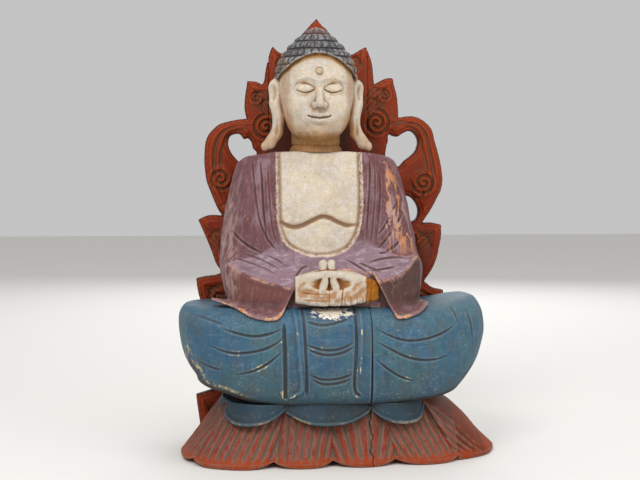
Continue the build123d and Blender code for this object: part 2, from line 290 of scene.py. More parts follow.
# ---- from field to mesh ---------------------------------------------------------------
CORNERS = np.array([(i, j, k) for i in (0, 1) for j in (0, 1) for k in (0, 1)], np.int32)
CELL_EDGES = [
    (a, b) for a in range(8) for b in range(a + 1, 8) if np.abs(CORNERS[a] - CORNERS[b]).sum() == 1
]
BLOCK = 4                 # fine steps in one coarse block
SAMPLES_AT_ONCE = 400000


def sample_field(field, low, high, step):
    """Values of the field on a grid. Blocks far from the surface only get their sign."""
    blocks = np.ceil((high - low) / (step * BLOCK)).astype(int) + 1
    coarse = [low[a] + step * BLOCK * (np.arange(blocks[a]) + 0.5) for a in range(3)]
    cx, cy, cz = np.meshgrid(*coarse, indexing="ij")
    far = field(*(c.ravel().astype(np.float32) for c in (cx, cy, cz))).reshape(cx.shape)
    near = np.abs(far) < step * BLOCK * 1.5
    values = far.astype(np.float32)
    for axis in range(3):
        values = np.repeat(values, BLOCK, axis)
        near = np.repeat(near, BLOCK, axis)
    for axis in range(3):
        near |= np.roll(near, 1, axis)
    index = np.nonzero(near.ravel())[0]
    flat = values.ravel()
    for part in np.array_split(index, max(1, len(index) // SAMPLES_AT_ONCE)):
        cells = np.unravel_index(part, near.shape)
        flat[part] = field(*((low[a] + step * cells[a]).astype(np.float32) for a in range(3)))
    return flat.reshape(values.shape)


def net(values, low, step):
    """One point in each grid cell that the surface crosses, joined into quads."""
    inside = values < 0
    parts = [inside[c[0]:c[0] - 1 or None, c[1]:c[1] - 1 or None, c[2]:c[2] - 1 or None] for c in CORNERS]
    crossed = np.any(parts, axis=0) & ~np.all(parts, axis=0)
    cells = np.argwhere(crossed)
    number = np.full(crossed.shape, -1, np.int32)
    number[crossed] = np.arange(len(cells))
    v = np.stack([values[tuple((cells + c).T)] for c in CORNERS], 1)
    total = np.zeros((len(cells), 3))
    count = np.zeros((len(cells), 1))
    for a, b in CELL_EDGES:
        cut = (v[:, a] < 0) != (v[:, b] < 0)
        t = np.where(cut, v[:, a] / np.where(cut, v[:, a] - v[:, b], 1), 0)[:, None]
        total += np.where(cut[:, None], CORNERS[a] + t * (CORNERS[b] - CORNERS[a]), 0)
        count += cut[:, None]
    points = low + step * (cells + total / count)
    quads = []
    for axis in range(3):
        u, w = (axis + 1) % 3, (axis + 2) % 3
        here, there = [slice(1, -1)] * 3, [slice(1, -1)] * 3
        here[axis], there[axis] = slice(0, -1), slice(1, None)
        at = np.argwhere(inside[tuple(here)] != inside[tuple(there)])
        at[:, [u, w]] += 1
        ring = []
        for du, dw in ((1, 1), (0, 1), (0, 0), (1, 0)):
            cell = at.copy()
            cell[:, [u, w]] -= (du, dw)
            ring.append(number[tuple(cell.T)])
        ring = np.stack(ring, 1)
        quads.append(np.where(inside[tuple(at.T)][:, None], ring, ring[:, ::-1]))
    return points, np.vstack(quads)


def settle(field, points, step):
    """Pull the points onto the surface."""
    for _ in range(2):
        value, slope = slope_of(field, points, 0.4 * step)
        size = np.maximum((slope**2).sum(1), 0.05)
        points = points - slope * np.clip(value / size, -0.6 * step, 0.6 * step)[:, None]
    return points


def columns(points):
    """The X, Y and Z of all points, as a field takes them."""
    return tuple(points.astype(np.float32).T)


def around(field, points, reach):
    """The field one step along X, Y and Z from each point."""
    x, y, z = columns(points)
    return np.stack([field(x + reach, y, z), field(x, y + reach, z), field(x, y, z + reach)], 1)


def slope_of(field, points, eps):
    """Value and slope of the field at each point."""
    value = field(*columns(points))
    return value, (around(field, points, eps) - value[:, None]) / eps


def bend_of(field, points, reach):
    """How much the surface bulges (above 0) or hollows (below 0) over a given reach."""
    total = -6 * field(*columns(points))
    for step in (-reach, reach):
        total += around(field, points, step).sum(1)
    return total / reach


BENDS = {"fine_bend": 1.6, "broad_bend": 6.0}       # layers of every piece, and their reach
STEPS = {                 # distance between the mesh points of each kind of piece
    "base": 1.35, "lap": 1.4, "torso": 1.5, "sleeve": 1.1, "hands": 0.8, "head": 1.04, "stud": 0.45,
    "panel": 1.5, "rail": 1.3, "screw": 0.42,
}


def carve(name, field, low, high, step, layers=None, whole=None):
    """Make a Blender mesh of a field. layers maps attribute names to functions of x, y, z.

    whole is the field before it was cut at a joint, so that no wear is painted along the cut.
    """
    low, high = np.array(low, float), np.array(high, float)
    points, quads = net(sample_field(field, low, high, step), low, step)
    points = settle(field, points, step)
    mesh = bpy.data.meshes.new(name)
    mesh.from_pydata((points * MM).tolist(), [], quads.tolist())
    mesh.validate()
    found = {name: bend_of(whole or field, points, reach) for name, reach in BENDS.items()}
    found.update({key: layer(*columns(points)) for key, layer in (layers or {}).items()})
    for key, value in found.items():
        attribute = mesh.attributes.new(key, "FLOAT", "POINT")
        attribute.data.foreach_set("value", np.broadcast_to(value, len(points)).astype(np.float32))
    mesh.shade_smooth()
    piece = bpy.data.objects.new(name, mesh)
    bpy.context.scene.collection.objects.link(piece)
    return piece


# ---- paint ----------------------------------------------------------------------------
def tint(*screen):
    """A colour named by its 0 to 255 screen values, as the linear colour Blender works in."""
    shares = (value / 255 for value in screen)
    return (*(s / 12.92 if s <= 0.04045 else ((s + 0.055) / 1.055) ** 2.4 for s in shares), 1.0)


class Paint:
    """A small helper that wires up one procedural material."""

    def __init__(self, name):
        self.material = bpy.data.materials.new(name)
        self.material.use_nodes = True
        self.tree = self.material.node_tree
        self.shader = self.tree.nodes["Principled BSDF"]
        self.shader.inputs["Specular IOR Level"].default_value = 0.25
        self.fine, self.broad = (self.layer(name) for name in BENDS)
        self.place = self.tree.nodes.new("ShaderNodeTexCoord").outputs["Object"]
        metres = self.node("ShaderNodeSeparateXYZ", {0: self.place}).outputs
        self.x, self.y, self.z = (self.times(value, 1000.0) for value in metres)

    def fill(self, node, inputs):
        """Set or link the given inputs of a node."""
        for key, value in inputs.items():
            if isinstance(value, bpy.types.NodeSocket):
                self.tree.links.new(value, node.inputs[key])
            else:
                node.inputs[key].default_value = value
        return node

    def node(self, kind, inputs):
        return self.fill(self.tree.nodes.new(kind), inputs)

    def layer(self, name):
        """A layer that was worked out while carving."""
        node = self.tree.nodes.new("ShaderNodeAttribute")
        node.attribute_name = name
        return node.outputs["Fac"]

    def math(self, operation, *values):
        """Values taken together two by two."""
        total = values[0]
        for value in values[1:]:
            node = self.node("ShaderNodeMath", {0: total, 1: value})
            node.operation = operation
            total = node.outputs[0]
        return total

    def add(self, *values):
        return self.math("ADD", *values)

    def times(self, *values):
        return self.math("MULTIPLY", *values)

    def noise(self, size_mm, detail=3.0, rough=0.55, stretch=(1, 1, 1), twist=0.0):
        """Cloudy noise between about 0.3 and 0.7, with features of the given size."""
        scale = tuple(1000 / size_mm * s for s in stretch)
        scaled = self.node("ShaderNodeMapping", {"Vector": self.place, "Scale": scale})
        settings = {"Scale": 1.0, "Detail": detail, "Roughness": rough, "Distortion": twist}
        return self.node("ShaderNodeTexNoise", {"Vector": scaled.outputs[0], **settings}).outputs[0]

    def ragged(self, value, amount, *noise):
        """The value with noise of the given amount added around it."""
        return self.add(value, self.times(self.noise(*noise), amount), -0.5 * amount)

    def span(self, value, start, end, high=1.0, low=0.0):
        """low at start, high at end, smooth between."""
        node = self.node("ShaderNodeMapRange", {0: value, 1: start, 2: end, 3: low, 4: high})
        node.interpolation_type = "SMOOTHSTEP"
        return node.outputs[0]

    def mix(self, share, *colours):
        """A blend of two colours. A colour of three numbers is in screen values."""
        node = self.tree.nodes.new("ShaderNodeMix")
        node.data_type = "RGBA"
        a, b = (tint(*c) if isinstance(c, tuple) and len(c) == 3 else c for c in colours)
        return self.fill(node, {0: share, 6: a, 7: b}).outputs[2]

    def coats(self, colour, *coats):
        """Colours brushed over a ground one after another, each with its share."""
        for share, over in coats:
            colour = self.mix(share, colour, over)
        return colour

    def finish(self, colour, roughness, bump):
        normal = self.node("ShaderNodeBump", {"Height": bump, "Strength": 0.5, "Distance": 0.4 * MM})
        self.fill(self.shader, {"Base Color": colour, "Roughness": roughness, "Normal": normal.outputs[0]})
        return self.material


WOOD_WARM = (176, 112, 52)
GESSO = (222, 204, 160)
DIRT_AND_SHADE = (52, 42, 36)


def worn_paint(p, colour, dry_brush_and_highlight, dry_brush_and_highlight_share, wear, hollow_dirt_and_shade, under=GESSO):
    """Old brushed paint: painted shade and dirt in the hollows, thin pale paint on the raised parts as a
    painted highlight, and rubbed edges that show the ground and then the wood. Returns colour, roughness and
    bump height."""
    soft, grit, streak = p.noise(38, 4), p.noise(3.2, 5, 0.7), p.noise(5.0, 4, 0.6, (1, 1, 0.2))
    tops = p.add(p.times(p.fine, 0.9), p.times(streak, 1.6), p.times(grit, 0.8))
    hollow = p.add(p.times(p.fine, -0.9), p.times(p.broad, -0.7), p.times(soft, 0.5), -0.25)
    edges = p.add(p.span(p.fine, 0.15, 0.8, 0.5), p.span(p.broad, 0.2, 1.0, 0.25))
    rub = p.add(edges, p.times(p.noise(23, 4), 2.4), p.times(grit, 1.3))
    edge = 2.95 - 0.75 * wear
    ground, bare = p.span(rub, edge, edge + 0.10), p.span(rub, edge + 0.22, edge + 0.34)
    colour = p.coats(
        colour,
        (p.span(streak, 0.35, 0.7, 0.225), DIRT_AND_SHADE),
        (p.times(p.span(grit, 0.52, 0.72, 0.275), p.span(soft, 0.42, 0.62)), under),
        # painted highlight: thin pale paint on the raised parts
        (p.span(tops, 1.25, 1.75, dry_brush_and_highlight_share), dry_brush_and_highlight),
        # painted shade: the hollows are darkened, along with the dirt that sits in them
        (p.span(hollow, 0.06, 0.9, hollow_dirt_and_shade), DIRT_AND_SHADE),
        (ground, under),
        (bare, WOOD_WARM),
        (p.span(p.noise(1.7, 2, 0.8), 0.66, 0.74, 0.5), DIRT_AND_SHADE),
    )
    rough = p.span(p.add(grit, p.times(ground, 0.3)), 0.3, 0.9, 0.82, low=0.5)
    height = p.add(p.times(grit, 0.5), p.times(streak, 0.6), p.times(ground, -0.5), p.times(bare, -0.4))
    return colour, rough, height


MADE = {}


def present(piece, node, build):
    """Hand a carved piece over to the frame in place of its CAD node, in the material that a
    builder function makes, made once."""
    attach(piece, "root")
    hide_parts(node)
    if build not in MADE:
        MADE[build] = build(Paint("aged_" + build.__name__))
    piece.data.materials.clear()
    piece.data.materials.append(MADE[build])


def skirt_paint(p):
    chip = p.layer("chip")
    gloss = p.add(chip, p.times(p.noise(9, 4), 0.9))
    patch = p.span(gloss, 1.55, 1.2)
    blue = p.coats(
        (54, 94, 122),
        (p.span(p.noise(60, 3), 0.38, 0.62), (64, 104, 116)),
        (p.span(p.noise(14, 4), 0.45, 0.7, 0.6), (74, 114, 138)),
        (p.span(p.noise(5, 5, 0.65, (1.3, 1, 0.2)), 0.5, 0.68, 0.5), (58, 70, 82)),
        (p.span(p.noise(8, 5, 0.7, (0.3, 1, 1.6), 0.5), 0.54, 0.68, 0.5), (104, 132, 148)),
        (p.span(p.noise(22, 5, 0.6), 0.5, 0.68, 0.5), (88, 90, 86)),
        # painted shade: the skirt darkens towards the underside of the lap
        (p.span(p.z, 150, 95, 0.35), (60, 72, 76)),
        (patch, (58, 80, 116)),
        # painted shade in the carved folds of the skirt
        (p.span(p.layer("cut"), 0.15, 0.85, 0.55), (72, 64, 60)),
    )
    colour, rough, height = worn_paint(p, blue, (112, 134, 146), 0.35, wear=0.35, hollow_dirt_and_shade=0.55)
    side = p.ragged(p.layer("rim"), 5.0, 12, 4)
    band = p.times(p.span(side, -13.0, -10.0), p.span(side, -5.0, -8.0))
    place = p.times(p.span(p.x, -90, -130), p.span(p.z, 190, 170))
    worn_rim = p.times(band, place, p.span(p.noise(7, 5, 0.7, (1, 1, 1), 0.6), 0.47, 0.55, 0.85))
    flakes = p.add(p.noise(7, 3, 0.6, (1, 1, 1.6), 1.2), p.times(gloss, -0.28))
    colour = p.coats(
        colour,
        (worn_rim, (204, 182, 130)),
        # painted shade: dark brown along the undercut lower edge of the lap
        (p.times(p.span(side, -9.0, -4.0), p.span(p.z, 168, 128, 0.8)), (64, 48, 36)),
        (p.times(p.span(flakes, 0.18, 0.22), p.span(chip, 1.0, 0.7)), (236, 228, 210)),
    )
    return p.finish(colour, p.mix(patch, rough, (0.3, 0.3, 0.3, 1)), height)


def lotus_paint(p):
    up, smooth = p.span(p.layer("upper"), -0.3, 0.3), p.layer("wedge")
    lip = p.span(p.add(p.layer("lip"), p.times(p.noise(16, 4), 5.0)), 6.6, 5.6)
    blue = p.coats(
        (42, 66, 80),
        (p.span(p.noise(40, 4), 0.4, 0.65), (46, 56, 60)),
        (p.times(lip, p.span(p.noise(22, 3), 0.5, 0.6)), (186, 158, 104)),
    )
    groove = p.add(p.layer("flute"), p.times(p.noise(9, 4), 0.6))
    plain = p.mix(p.span(p.noise(30, 4), 0.4, 0.6), (150, 54, 6), (112, 44, 14))
    # painted shade: the flutes darken upwards, under the overhang of the upper row of petals
    high = p.times(p.span(p.z, 30, 62, 0.6), p.span(smooth, 1.0, 0.0, low=0.35))
    red = p.coats(
        (142, 44, 26),
        (p.span(p.noise(30, 4), 0.35, 0.65), (146, 48, 12)),
        (p.span(p.noise(5, 4, 0.65, (1.4, 1, 0.14)), 0.46, 0.62, 0.65), (96, 40, 30)),
        (p.span(p.z, 24, 8, 0.85), (160, 60, 12)),
        (p.span(groove, 0.5, 0.85, 0.9), (132, 104, 88)),
        (smooth, plain),
        (high, (86, 60, 50)),
    )
    under, dry_brush_and_highlight = p.mix(up, (170, 124, 72), (104, 104, 96)), p.mix(up, (146, 108, 92), (86, 104, 114))
    return p.finish(*worn_paint(p, p.mix(up, red, blue), dry_brush_and_highlight, 0.5, wear=0.12, hollow_dirt_and_shade=0.45, under=under))


# ---- lotus base -----------------------------------------------------------------------
HUB = (8.0, -6.0)         # the petals are laid out around this point


class Tier:
    """One row of petals: arcs from corner to corner, given at its foot and at its top."""

    def __init__(self, foot, top):
        self.low, self.high = (
            [self.circle(*p) for p in zip(corners, middles, corners[1:])] for corners, middles in (foot, top)
        )
        rays = [np.array(corner, float) - HUB for corner in foot[0]]
        self.rays = [ray / np.linalg.norm(ray) for ray in rays]
        self.spans = [self.span(c, a, b) for c, a, b in zip(self.low, foot[0], foot[0][1:])]

    @staticmethod
    def circle(a, b, c):
        """Centre and radius of the circle through three points."""
        (ax, ay), (bx, by), (cx, cy) = a, b, c
        d = 2 * (ax * (by - cy) + bx * (cy - ay) + cx * (ay - by))
        sa, sb, sc = ax * ax + ay * ay, bx * bx + by * by, cx * cx + cy * cy
        ux = (sa * (by - cy) + sb * (cy - ay) + sc * (ay - by)) / d
        uy = (sa * (cx - bx) + sb * (ax - cx) + sc * (bx - ax)) / d
        return np.array([ux, uy, math.hypot(ax - ux, ay - uy)])

    @staticmethod
    def span(circle, a, b):
        """Directions of a petal's two corners, seen from its circle's centre."""
        return [math.atan2(p[0] - circle[0], circle[1] - p[1]) for p in (a, b)]

    def field(self, x, y, t):
        """Distance to the row, which petal is nearest, and the place across it from 0 to 1."""
        best = np.full(x.shape, 1e3, np.float32)
        which = np.zeros(x.shape, np.int8)
        across = np.zeros(x.shape, np.float32)
        side = [(x - HUB[0]) * r[1] - (y - HUB[1]) * r[0] for r in self.rays]
        for k, (low, high) in enumerate(zip(self.low, self.high)):
            cx, cy, radius = (low[i] + (high[i] - low[i]) * t for i in range(3))
            d = np.hypot(x - cx, y - cy) - radius
            d = np.maximum(d, np.maximum(side[k], -side[k + 1]) - 5)
            start, end = self.spans[k]
            near = d < best
            best, which = np.where(near, d, best), np.where(near, k, which)
            across = np.where(near, (np.arctan2(x - cx, cy - y) - start) / (end - start), across)
        return best, which, np.clip(across, 0, 1)


LOWER_ROW = Tier(
    (
        [(-164, 66), (-176, -76), (-70, -112), (8, -109), (90, -103), (178, -84), (216, 66)],
        [(-190, -12), (-124, -119), (-30, -121), (50, -118), (138, -108), (234, -30)],
    ),
    (
        [(-116, 66), (-124, -54), (-54, -84), (6, -86), (74, -84), (136, -62), (150, 66)],
        [(-132, 0), (-90, -82), (-26, -90), (40, -89), (106, -80), (160, 0)],
    ),
)
UPPER_ROW = Tier(
    (
        [(-128, 66), (-140, -64), (-55, -103), (58, -101), (140, -74), (152, 66)],
        [(-144, 0), (-99, -111), (2, -117), (100, -108), (164, 0)],
    ),
    (
        [(-120, 66), (-126, -58), (-52, -92), (56, -90), (130, -68), (142, 66)],
        [(-134, 0), (-90, -97), (2, -102), (94, -96), (152, 0)],
    ),
)
FLUTES = np.array([11, 10, 8, 8, 9, 14], np.float32)
WEDGE = 5                 # the last petal of the lower row is only fluted near its front
UPPER_LIP_Z = 54.0


def lower_petals(x, y, z):
    """The wide, fluted row. Returns the field and the depth of the flutes."""
    t = np.clip((z - 6) / (BASE_TOP - 6), 0, 1)
    d, which, across = LOWER_ROW.field(x, y, t)
    d = d - 5.0 * (which == WEDGE) * ramp(z, 20, 50) * (1 - ramp(z, 66, 80))
    ends = ramp(z, 4, 18) * (1 - ramp(z, 66, 78)) * ((which != WEDGE) | (across <= 0.3))
    groove = np.abs(np.sin(math.pi * FLUTES[which] * across)) ** 3 * ends
    d = d * 0.82 + 1.8 * groove
    foot = 7.0 * np.abs(2 * across - 1) ** 3 * (which != WEDGE) - z
    d = smax(d, foot, 3.0)
    return d, groove, which


def upper_petals(x, y, z):
    """The short, smooth row: each petal hangs in a U. Returns the field and height over its lip."""
    t = np.clip((z - UPPER_LIP_Z) / (BASE_TOP - UPPER_LIP_Z), 0, 1)
    d, _, across = UPPER_ROW.field(x, y, t)
    over = z - (UPPER_LIP_Z + 21 * np.abs(2 * across - 1) ** 2.6)
    d = d - 1.2 * bell(over - 2.4, 2.4) + 0.9 * bell(over - 7.0, 2.6)
    return smax(d * 0.92, -over, 4.0), over


def base_field(x, y, z):
    d = smin(lower_petals(x, y, z)[0], upper_petals(x, y, z)[0], 1.5)
    d = smax(d + 0.5 * wobble(x, y, z, 40, 3), y - PANEL_FRONT, 1.0)
    return smax(smax(d, z - BASE_TOP, 0.6), -z, 1.2)


def side_of_seam(x, y, z, side, wander):
    """Cut plane of the timber seam. The base's seam opens in a slightly ragged line."""
    line = SEAM_X + wander * (1.2 * np.sin(z * 0.21) + 0.9 * np.sin(z * 0.53 + 1.0)) * ramp(-y, 60, 100)
    return side * (line - x) + 0.35


def make_base():
    low, high = box_mm("base_main_timber")[0] - 4, box_mm("base_side_timber")[1] + 4
    layers = {
        "upper": lambda x, y, z: lower_petals(x, y, z)[0] - upper_petals(x, y, z)[0],
        "lip": lambda x, y, z: upper_petals(x, y, z)[1],
        "flute": lambda x, y, z: lower_petals(x, y, z)[1],
        "wedge": lambda x, y, z: (lower_petals(x, y, z)[2] == WEDGE) & (x > 176),
    }
    for node, side in (("base_main_timber", -1), ("base_side_timber", 1)):

        def field(x, y, z):
            return smax(base_field(x, y, z), side_of_seam(x, y, z, side, 1.0), 1.0)

        piece = carve(node + "_carved", field, *trimmed(low, high, side), STEPS["base"], layers, base_field)
        present(piece, node, lotus_paint)


def trimmed(low, high, side):
    """The part of a box on one side of the timber seam."""
    corners = np.array([low, high])
    corners[int(side < 0), 0] = SEAM_X - 5 * side
    return corners


# ---- lap ------------------------------------------------------------------------------
LAP_OUTLINE = [
    (-60, 76), (-100, 82), (-132, 93), (-152, 99), (-165, 107), (-169, 116), (-178, 128), (-186, 143),
    (-191, 160), (-194, 178), (-193, 192), (-186, 201), (-174, 204), (-140, 203), (-60, 205), (60, 205),
    (130, 203), (158, 205), (186, 210), (204, 213), (216, 209), (225, 197), (229, 180), (228, 161),
    (219, 144), (209, 129), (196, 114), (182, 99), (170, 90), (146, 83), (100, 78), (60, 75), (0, 75),
]
lap_front = profile(
    [-196, -190, -178, -160, -130, -90, -50, 0, 50, 100, 140, 172, 196, 212, 224],
    [-20, -48, -70, -86, -100, -109, -114, -117, -114, -110, -102, -90, -72, -50, -20],
    5.0,
)
lap_bulge = profile([80, 90, 104, 130, 160, 182, 194, 204, 214], [10, 4, 1, -2, -1, 3, 10, 24, 42], 4.0)
lap_left = profile([-120, -60, -20, 20, 50, 66], [-192, -199, -203, -200, -186, -166], 8.0)
lap_right = profile([-120, -60, -20, 20, 50, 66], [222, 230, 236, 232, 218, 198], 8.0)


def draw_lap():
    """Folds of the skirt, drawn with a V gouge over the front of the lap."""
    m = Relief(-204, 234, 70, 224, 0.6)
    m.outline = m.inside(LAP_OUTLINE, reach=26.0)
    for path in (
        [(-136, 181), (-118, 175), (-95, 171), (-75, 174), (-58, 181)],
        [(-152, 158), (-132, 151), (-113, 149), (-87, 153), (-68, 161), (-56, 171)],
        [(-117, 121), (-94, 127), (-75, 138), (-57, 153)],
        [(62, 180), (82, 170), (102, 164), (122, 164), (142, 168), (160, 175), (176, 187)],
        [(62, 164), (82, 153), (102, 143), (122, 138), (142, 138), (162, 142)],
        [(62, 141), (79, 127), (95, 117), (114, 110)],
    ):
        m.stroke([(px, pz + 4) for px, pz in path], 15, -1.5, (0.3, 0.3), 0, mark=0)
        m.stroke(path, 2.6, 2.6, (0.25, 0.3))
    for path in (
        [(-172, 196), (-150, 190), (-130, 184)],
        [(186, 204), (192, 192), (197, 170), (197, 144)],
        [(166, 206), (172, 196), (176, 182)],
        [(-168, 138), (-150, 130), (-132, 126)],
    ):
        m.stroke(path, 2.6, 1.3, (0.3, 0.4))
    # central apron between two upright folds
    for path in (
        [(-27, 189), (-8, 185), (10, 187), (30, 193)],
        [(-29, 161), (-12, 155), (4, 153), (20, 156), (35, 164)],
        [(-28, 156), (-12, 149), (3, 147), (20, 150), (35, 158)],
        [(-24, 122), (-10, 116), (4, 115), (19, 117), (32, 122)],
        [(-22, 117), (-9, 110), (4, 109), (18, 111), (30, 116)],
    ):
        m.stroke(path, 2.8, 2.0, (0.15, 0.15))
    for path, width, depth, ends, sharp, mark in (
        ([(-31, 202), (-29, 160), (-27, 120), (-27, 92)], 3.2, 2.6, (0, 0.1), 0.6, 1),
        ([(-42, 204), (-39, 177), (-36, 138), (-33, 103), (-41, 95), (-50, 90)], 4.5, -2.6, (0, 0.1), 0.3, 0),
        ([(-56, 190), (-55, 150), (-54, 92)], 4.0, 3.6, (0.15, 0), 0.6, 1),
        ([(37, 202), (37, 156), (35, 104), (44, 91)], 3.2, 2.8, (0, 0.1), 0.6, 1),
        ([(44, 206), (44, 170), (42, 120)], 4.5, -2.4, (0, 0.2), 0.3, 0),
        ([(SEAM_X, 206), (SEAM_X, 82)], 1.6, 0.9, (0, 0), 0.6, 0.7),
        ([(SEAM_X, 156), (SEAM_X, 82)], 2.2, 1.8, (0.3, 0), 0.6, 1),
    ):
        m.stroke(path, width, depth, ends, sharp, mark=mark)
    return m


LAP_MAP = draw_lap()


def lap_field(x, y, z):
    carved = LAP_MAP.read("height", x, z) * ramp(-y, 20, 60)
    front = (lap_front(x) + lap_bulge(z) - y) - carved + 0.6 * wobble(x, y, z, 34, 5)
    d = smax(LAP_MAP.read("outline", x, z), front, 22.0)
    d = smax(d, np.maximum(lap_left(y) - x, x - lap_right(y)), 20.0)
    d = smax(d, y - PANEL_FRONT, 3.0)
    return smax(d, BASE_TOP - OVERLAP - z, 1.0)


def make_lap():
    low, high = box_mm("lap_main_timber")[0], box_mm("lap_knee_timber")[1]
    low, high = low - 5, high + (5, 5, 14)
    layers = {
        "cut": lambda x, y, z: LAP_MAP.read("cut", x, z) * ramp(-y, 20, 60),
        "rim": lambda x, y, z: LAP_MAP.read("outline", x, z) - 20 * ramp(y, -66, -36),
        "chip": lambda x, y, z: np.hypot((x - 7) / 34, (z - 199) / 10) + np.where(y < -80, 0, 1),
    }
    for node, side in (("lap_main_timber", -1), ("lap_knee_timber", 1)):

        def field(x, y, z):
            return smax(lap_field(x, y, z), side_of_seam(x, y, z, side, 0.0) - 0.2, 1.0)

        piece = carve(node + "_carved", field, *trimmed(low, high, side), STEPS["lap"], layers, lap_field)
        present(piece, node, skirt_paint)


# ---- torso, sleeves and hands ---------------------------------------------------------
BODY_HEIGHTS = [200, 209, 223, 240, 258, 274, 294, 315, 335, 361, 380, 394, 401, 410]
BODY_LEFT = [-122, -125, -129, -133, -135, -135, -134, -131, -127, -121, -116, -112, -107, -101]
BODY_RIGHT = [126, 129, 132, 135, 136, 135, 132, 127, 123, 117, 112, 107, 102, 92]
body_left, body_right = (profile(BODY_HEIGHTS, side, 3.0) for side in (BODY_LEFT, BODY_RIGHT))
body_front = profile(
    [204, 240, 262, 290, 320, 345, 372, 392, 402, 409],
    [-52, -55, -56, -54, -52, -51, -47, -42, -39, -37],
    5.0,
)
OPENING = [
    (-60, 430), (-60, 400), (-60, 343), (-58, 310), (-51, 290), (-38, 279), (-18, 272), (3, 271),
    (23, 276), (36, 285), (46, 303), (51, 336), (51, 400), (51, 430), (20, 440), (-30, 440),
]
PECTORALS = [
    (-57, 317), (-48, 311), (-38, 309), (-28, 311), (-15, 317), (-3, 322), (8, 321), (20, 315), (32, 311),
    (46, 312),
]


def ragged(x, z):
    """Fine unevenness from about -1 to 1 for a broken painted edge."""
    return 0.5 * (np.sin(1.9 * x + 0.8 * z) + np.sin(1.3 * z - 1.1 * x + 2 * np.sin(0.4 * x + 0.3 * z)))


def draw_body():
    """Folds of the robe and the forms of the chest, seen from the front."""
    m = Relief(-150, 150, 196, 420, 0.6)
    m.opening = m.inside(OPENING)
    robe = ramp(m.opening + 0.5 * ragged(m.x, m.z), -1.2, 1.0)
    for path, width, depth in (
        ([(-83, 404), (-81, 370), (-79, 330), (-74, 283)], 2.2, 1.7),
        ([(-93, 400), (-92, 380), (-88, 340), (-80, 300)], 2.0, 1.0),
        ([(-74, 402), (-72, 360), (-68, 310), (-60, 284)], 2.0, 1.1),
        ([(-88, 330), (-82, 310), (-72, 290), (-60, 276)], 2.4, 1.3),
        ([(-122, 305), (-112, 294), (-98, 283), (-80, 274)], 3.0, 2.6),
        ([(64, 404), (63, 370), (60, 330), (57, 290)], 2.4, 1.6),
        ([(70, 402), (70, 360), (66, 310), (62, 284)], 2.0, 1.1),
        ([(77, 396), (77, 350), (73, 310), (70, 288)], 2.0, 1.0),
        ([(101, 342), (92, 325), (84, 311), (73, 297)], 2.6, 2.3),
        ([(110, 328), (98, 309), (85, 292), (72, 279)], 2.6, 2.3),
        ([(120, 309), (108, 293), (93, 280), (78, 274), (72, 277)], 2.8, 2.5),
        ([(58, 262), (74, 266), (92, 268), (112, 267)], 2.4, 1.0),
        ([(60, 252), (78, 254), (96, 257)], 2.2, 0.9),
        ([(30, 266), (42, 259), (54, 251), (63, 243), (69, 235)], 2.6, 2.2),
        ([(46, 262), (60, 256), (74, 250)], 2.2, 1.4),
        ([(-22, 259), (-31, 254), (-38, 245), (-39, 236)], 2.6, 2.0),
    ):
        m.stroke(path, width, depth, (0.2, 0.25))
    for path in (
        [(-120, 268), (-100, 263), (-80, 256), (-62, 247)],
        [(-108, 274), (-88, 268), (-68, 259), (-52, 249)],
        [(-76, 272), (-62, 266), (-48, 257)],
    ):
        m.stroke(path, 2.4, 1.0, (0.3, 0.4), mark=0.55)
    for path, width, depth in (
        ([(-98, 396), (-100, 370), (-101, 330), (-96, 300)], 11, -2.4),
        ([(-74, 398), (-72, 350), (-68, 300)], 8, -1.8),
        ([(88, 396), (92, 370), (96, 340), (90, 315)], 11, -2.6),
        ([(70, 398), (70, 350), (66, 300)], 6, -1.4),
    ):
        m.stroke(path, width, depth, (0.25, 0.3), 0.0, mark=0)
    folds = m.height * robe
    across = np.abs(m.x + 4)
    m.height = 3.4 * bell(m.z - 340, 34) * bell(across - 24, 26)
    m.height += 3.6 * bell(m.z - 291, 19) * bell(across, 44)
    m.stroke(PECTORALS, 6.0, 3.2, (0.12, 0.12), 0.3)
    edge = (0.5 + 0.5 * ragged(m.x, m.z)) * bell(m.opening - 1.4, 1.6)
    m.height = folds + m.height * (1 - robe) + 4.4 * robe + edge
    m.cut = m.cut + 0.8 * bell(m.opening + 1.2, 1.6)
    return m


BODY_MAP = draw_body()


def body_field(x, y, z):
    left, right = body_left(z), body_right(z)
    u = (2 * x - left - right) / (right - left)
    carved = BODY_MAP.read("height", x, z) * ramp(-y, 8, 30)
    front = body_front(z) + 34 * np.abs(u) ** 3.4 - y - carved + 4.4
    d = smax(front, np.maximum(left - x, x - right), 30.0)
    behind = 0.16 * np.maximum(y + 34, 0) * ramp(np.abs(x - HEAD_X), 40, 70)
    d = smax(d * 0.92, z - NECK_Z + behind, 5.0)
    return smax(d + 0.45 * wobble(x, y, z, 30, 9), y - PANEL_FRONT, 1.5)


arm_front = profile(
    [-150, -136, -118, -90, -60, -44, -30, 40, 74, 96, 118, 134, 150],
    [-40, -50, -66, -78, -85, -87, -87, -87, -87, -80, -66, -52, -40],
    3.0,
)
arm_edge = profile(
    [-150, -136, -129, -119, -99, -80, -60, -43, -30, 40, 63, 79, 99, 115, 120, 136],
    [276, 272, 263, 257, 246, 240, 234, 231, 230, 240, 241, 241, 246, 260, 268, 276],
    2.0,
)
SLEEVE_TOP = 275.0        # the crease where the forearm leaves the body
LEFT_RIM = [
    (-166, 213), (-145, 211), (-119, 204), (-100, 195), (-84, 191), (-67, 191), (-57, 197), (-48, 207),
    (-42, 220), (-50, 232), (-80, 232), (-110, 232), (-140, 226), (-160, 219),
]
RIGHT_RIM = [
    (74, 194), (98, 191), (118, 195), (131, 201), (149, 214), (140, 224), (118, 232), (90, 232), (72, 228),
    (68, 214), (70, 200),
]
RIM_MAP = Relief(-180, 170, 180, 250, 0.6)
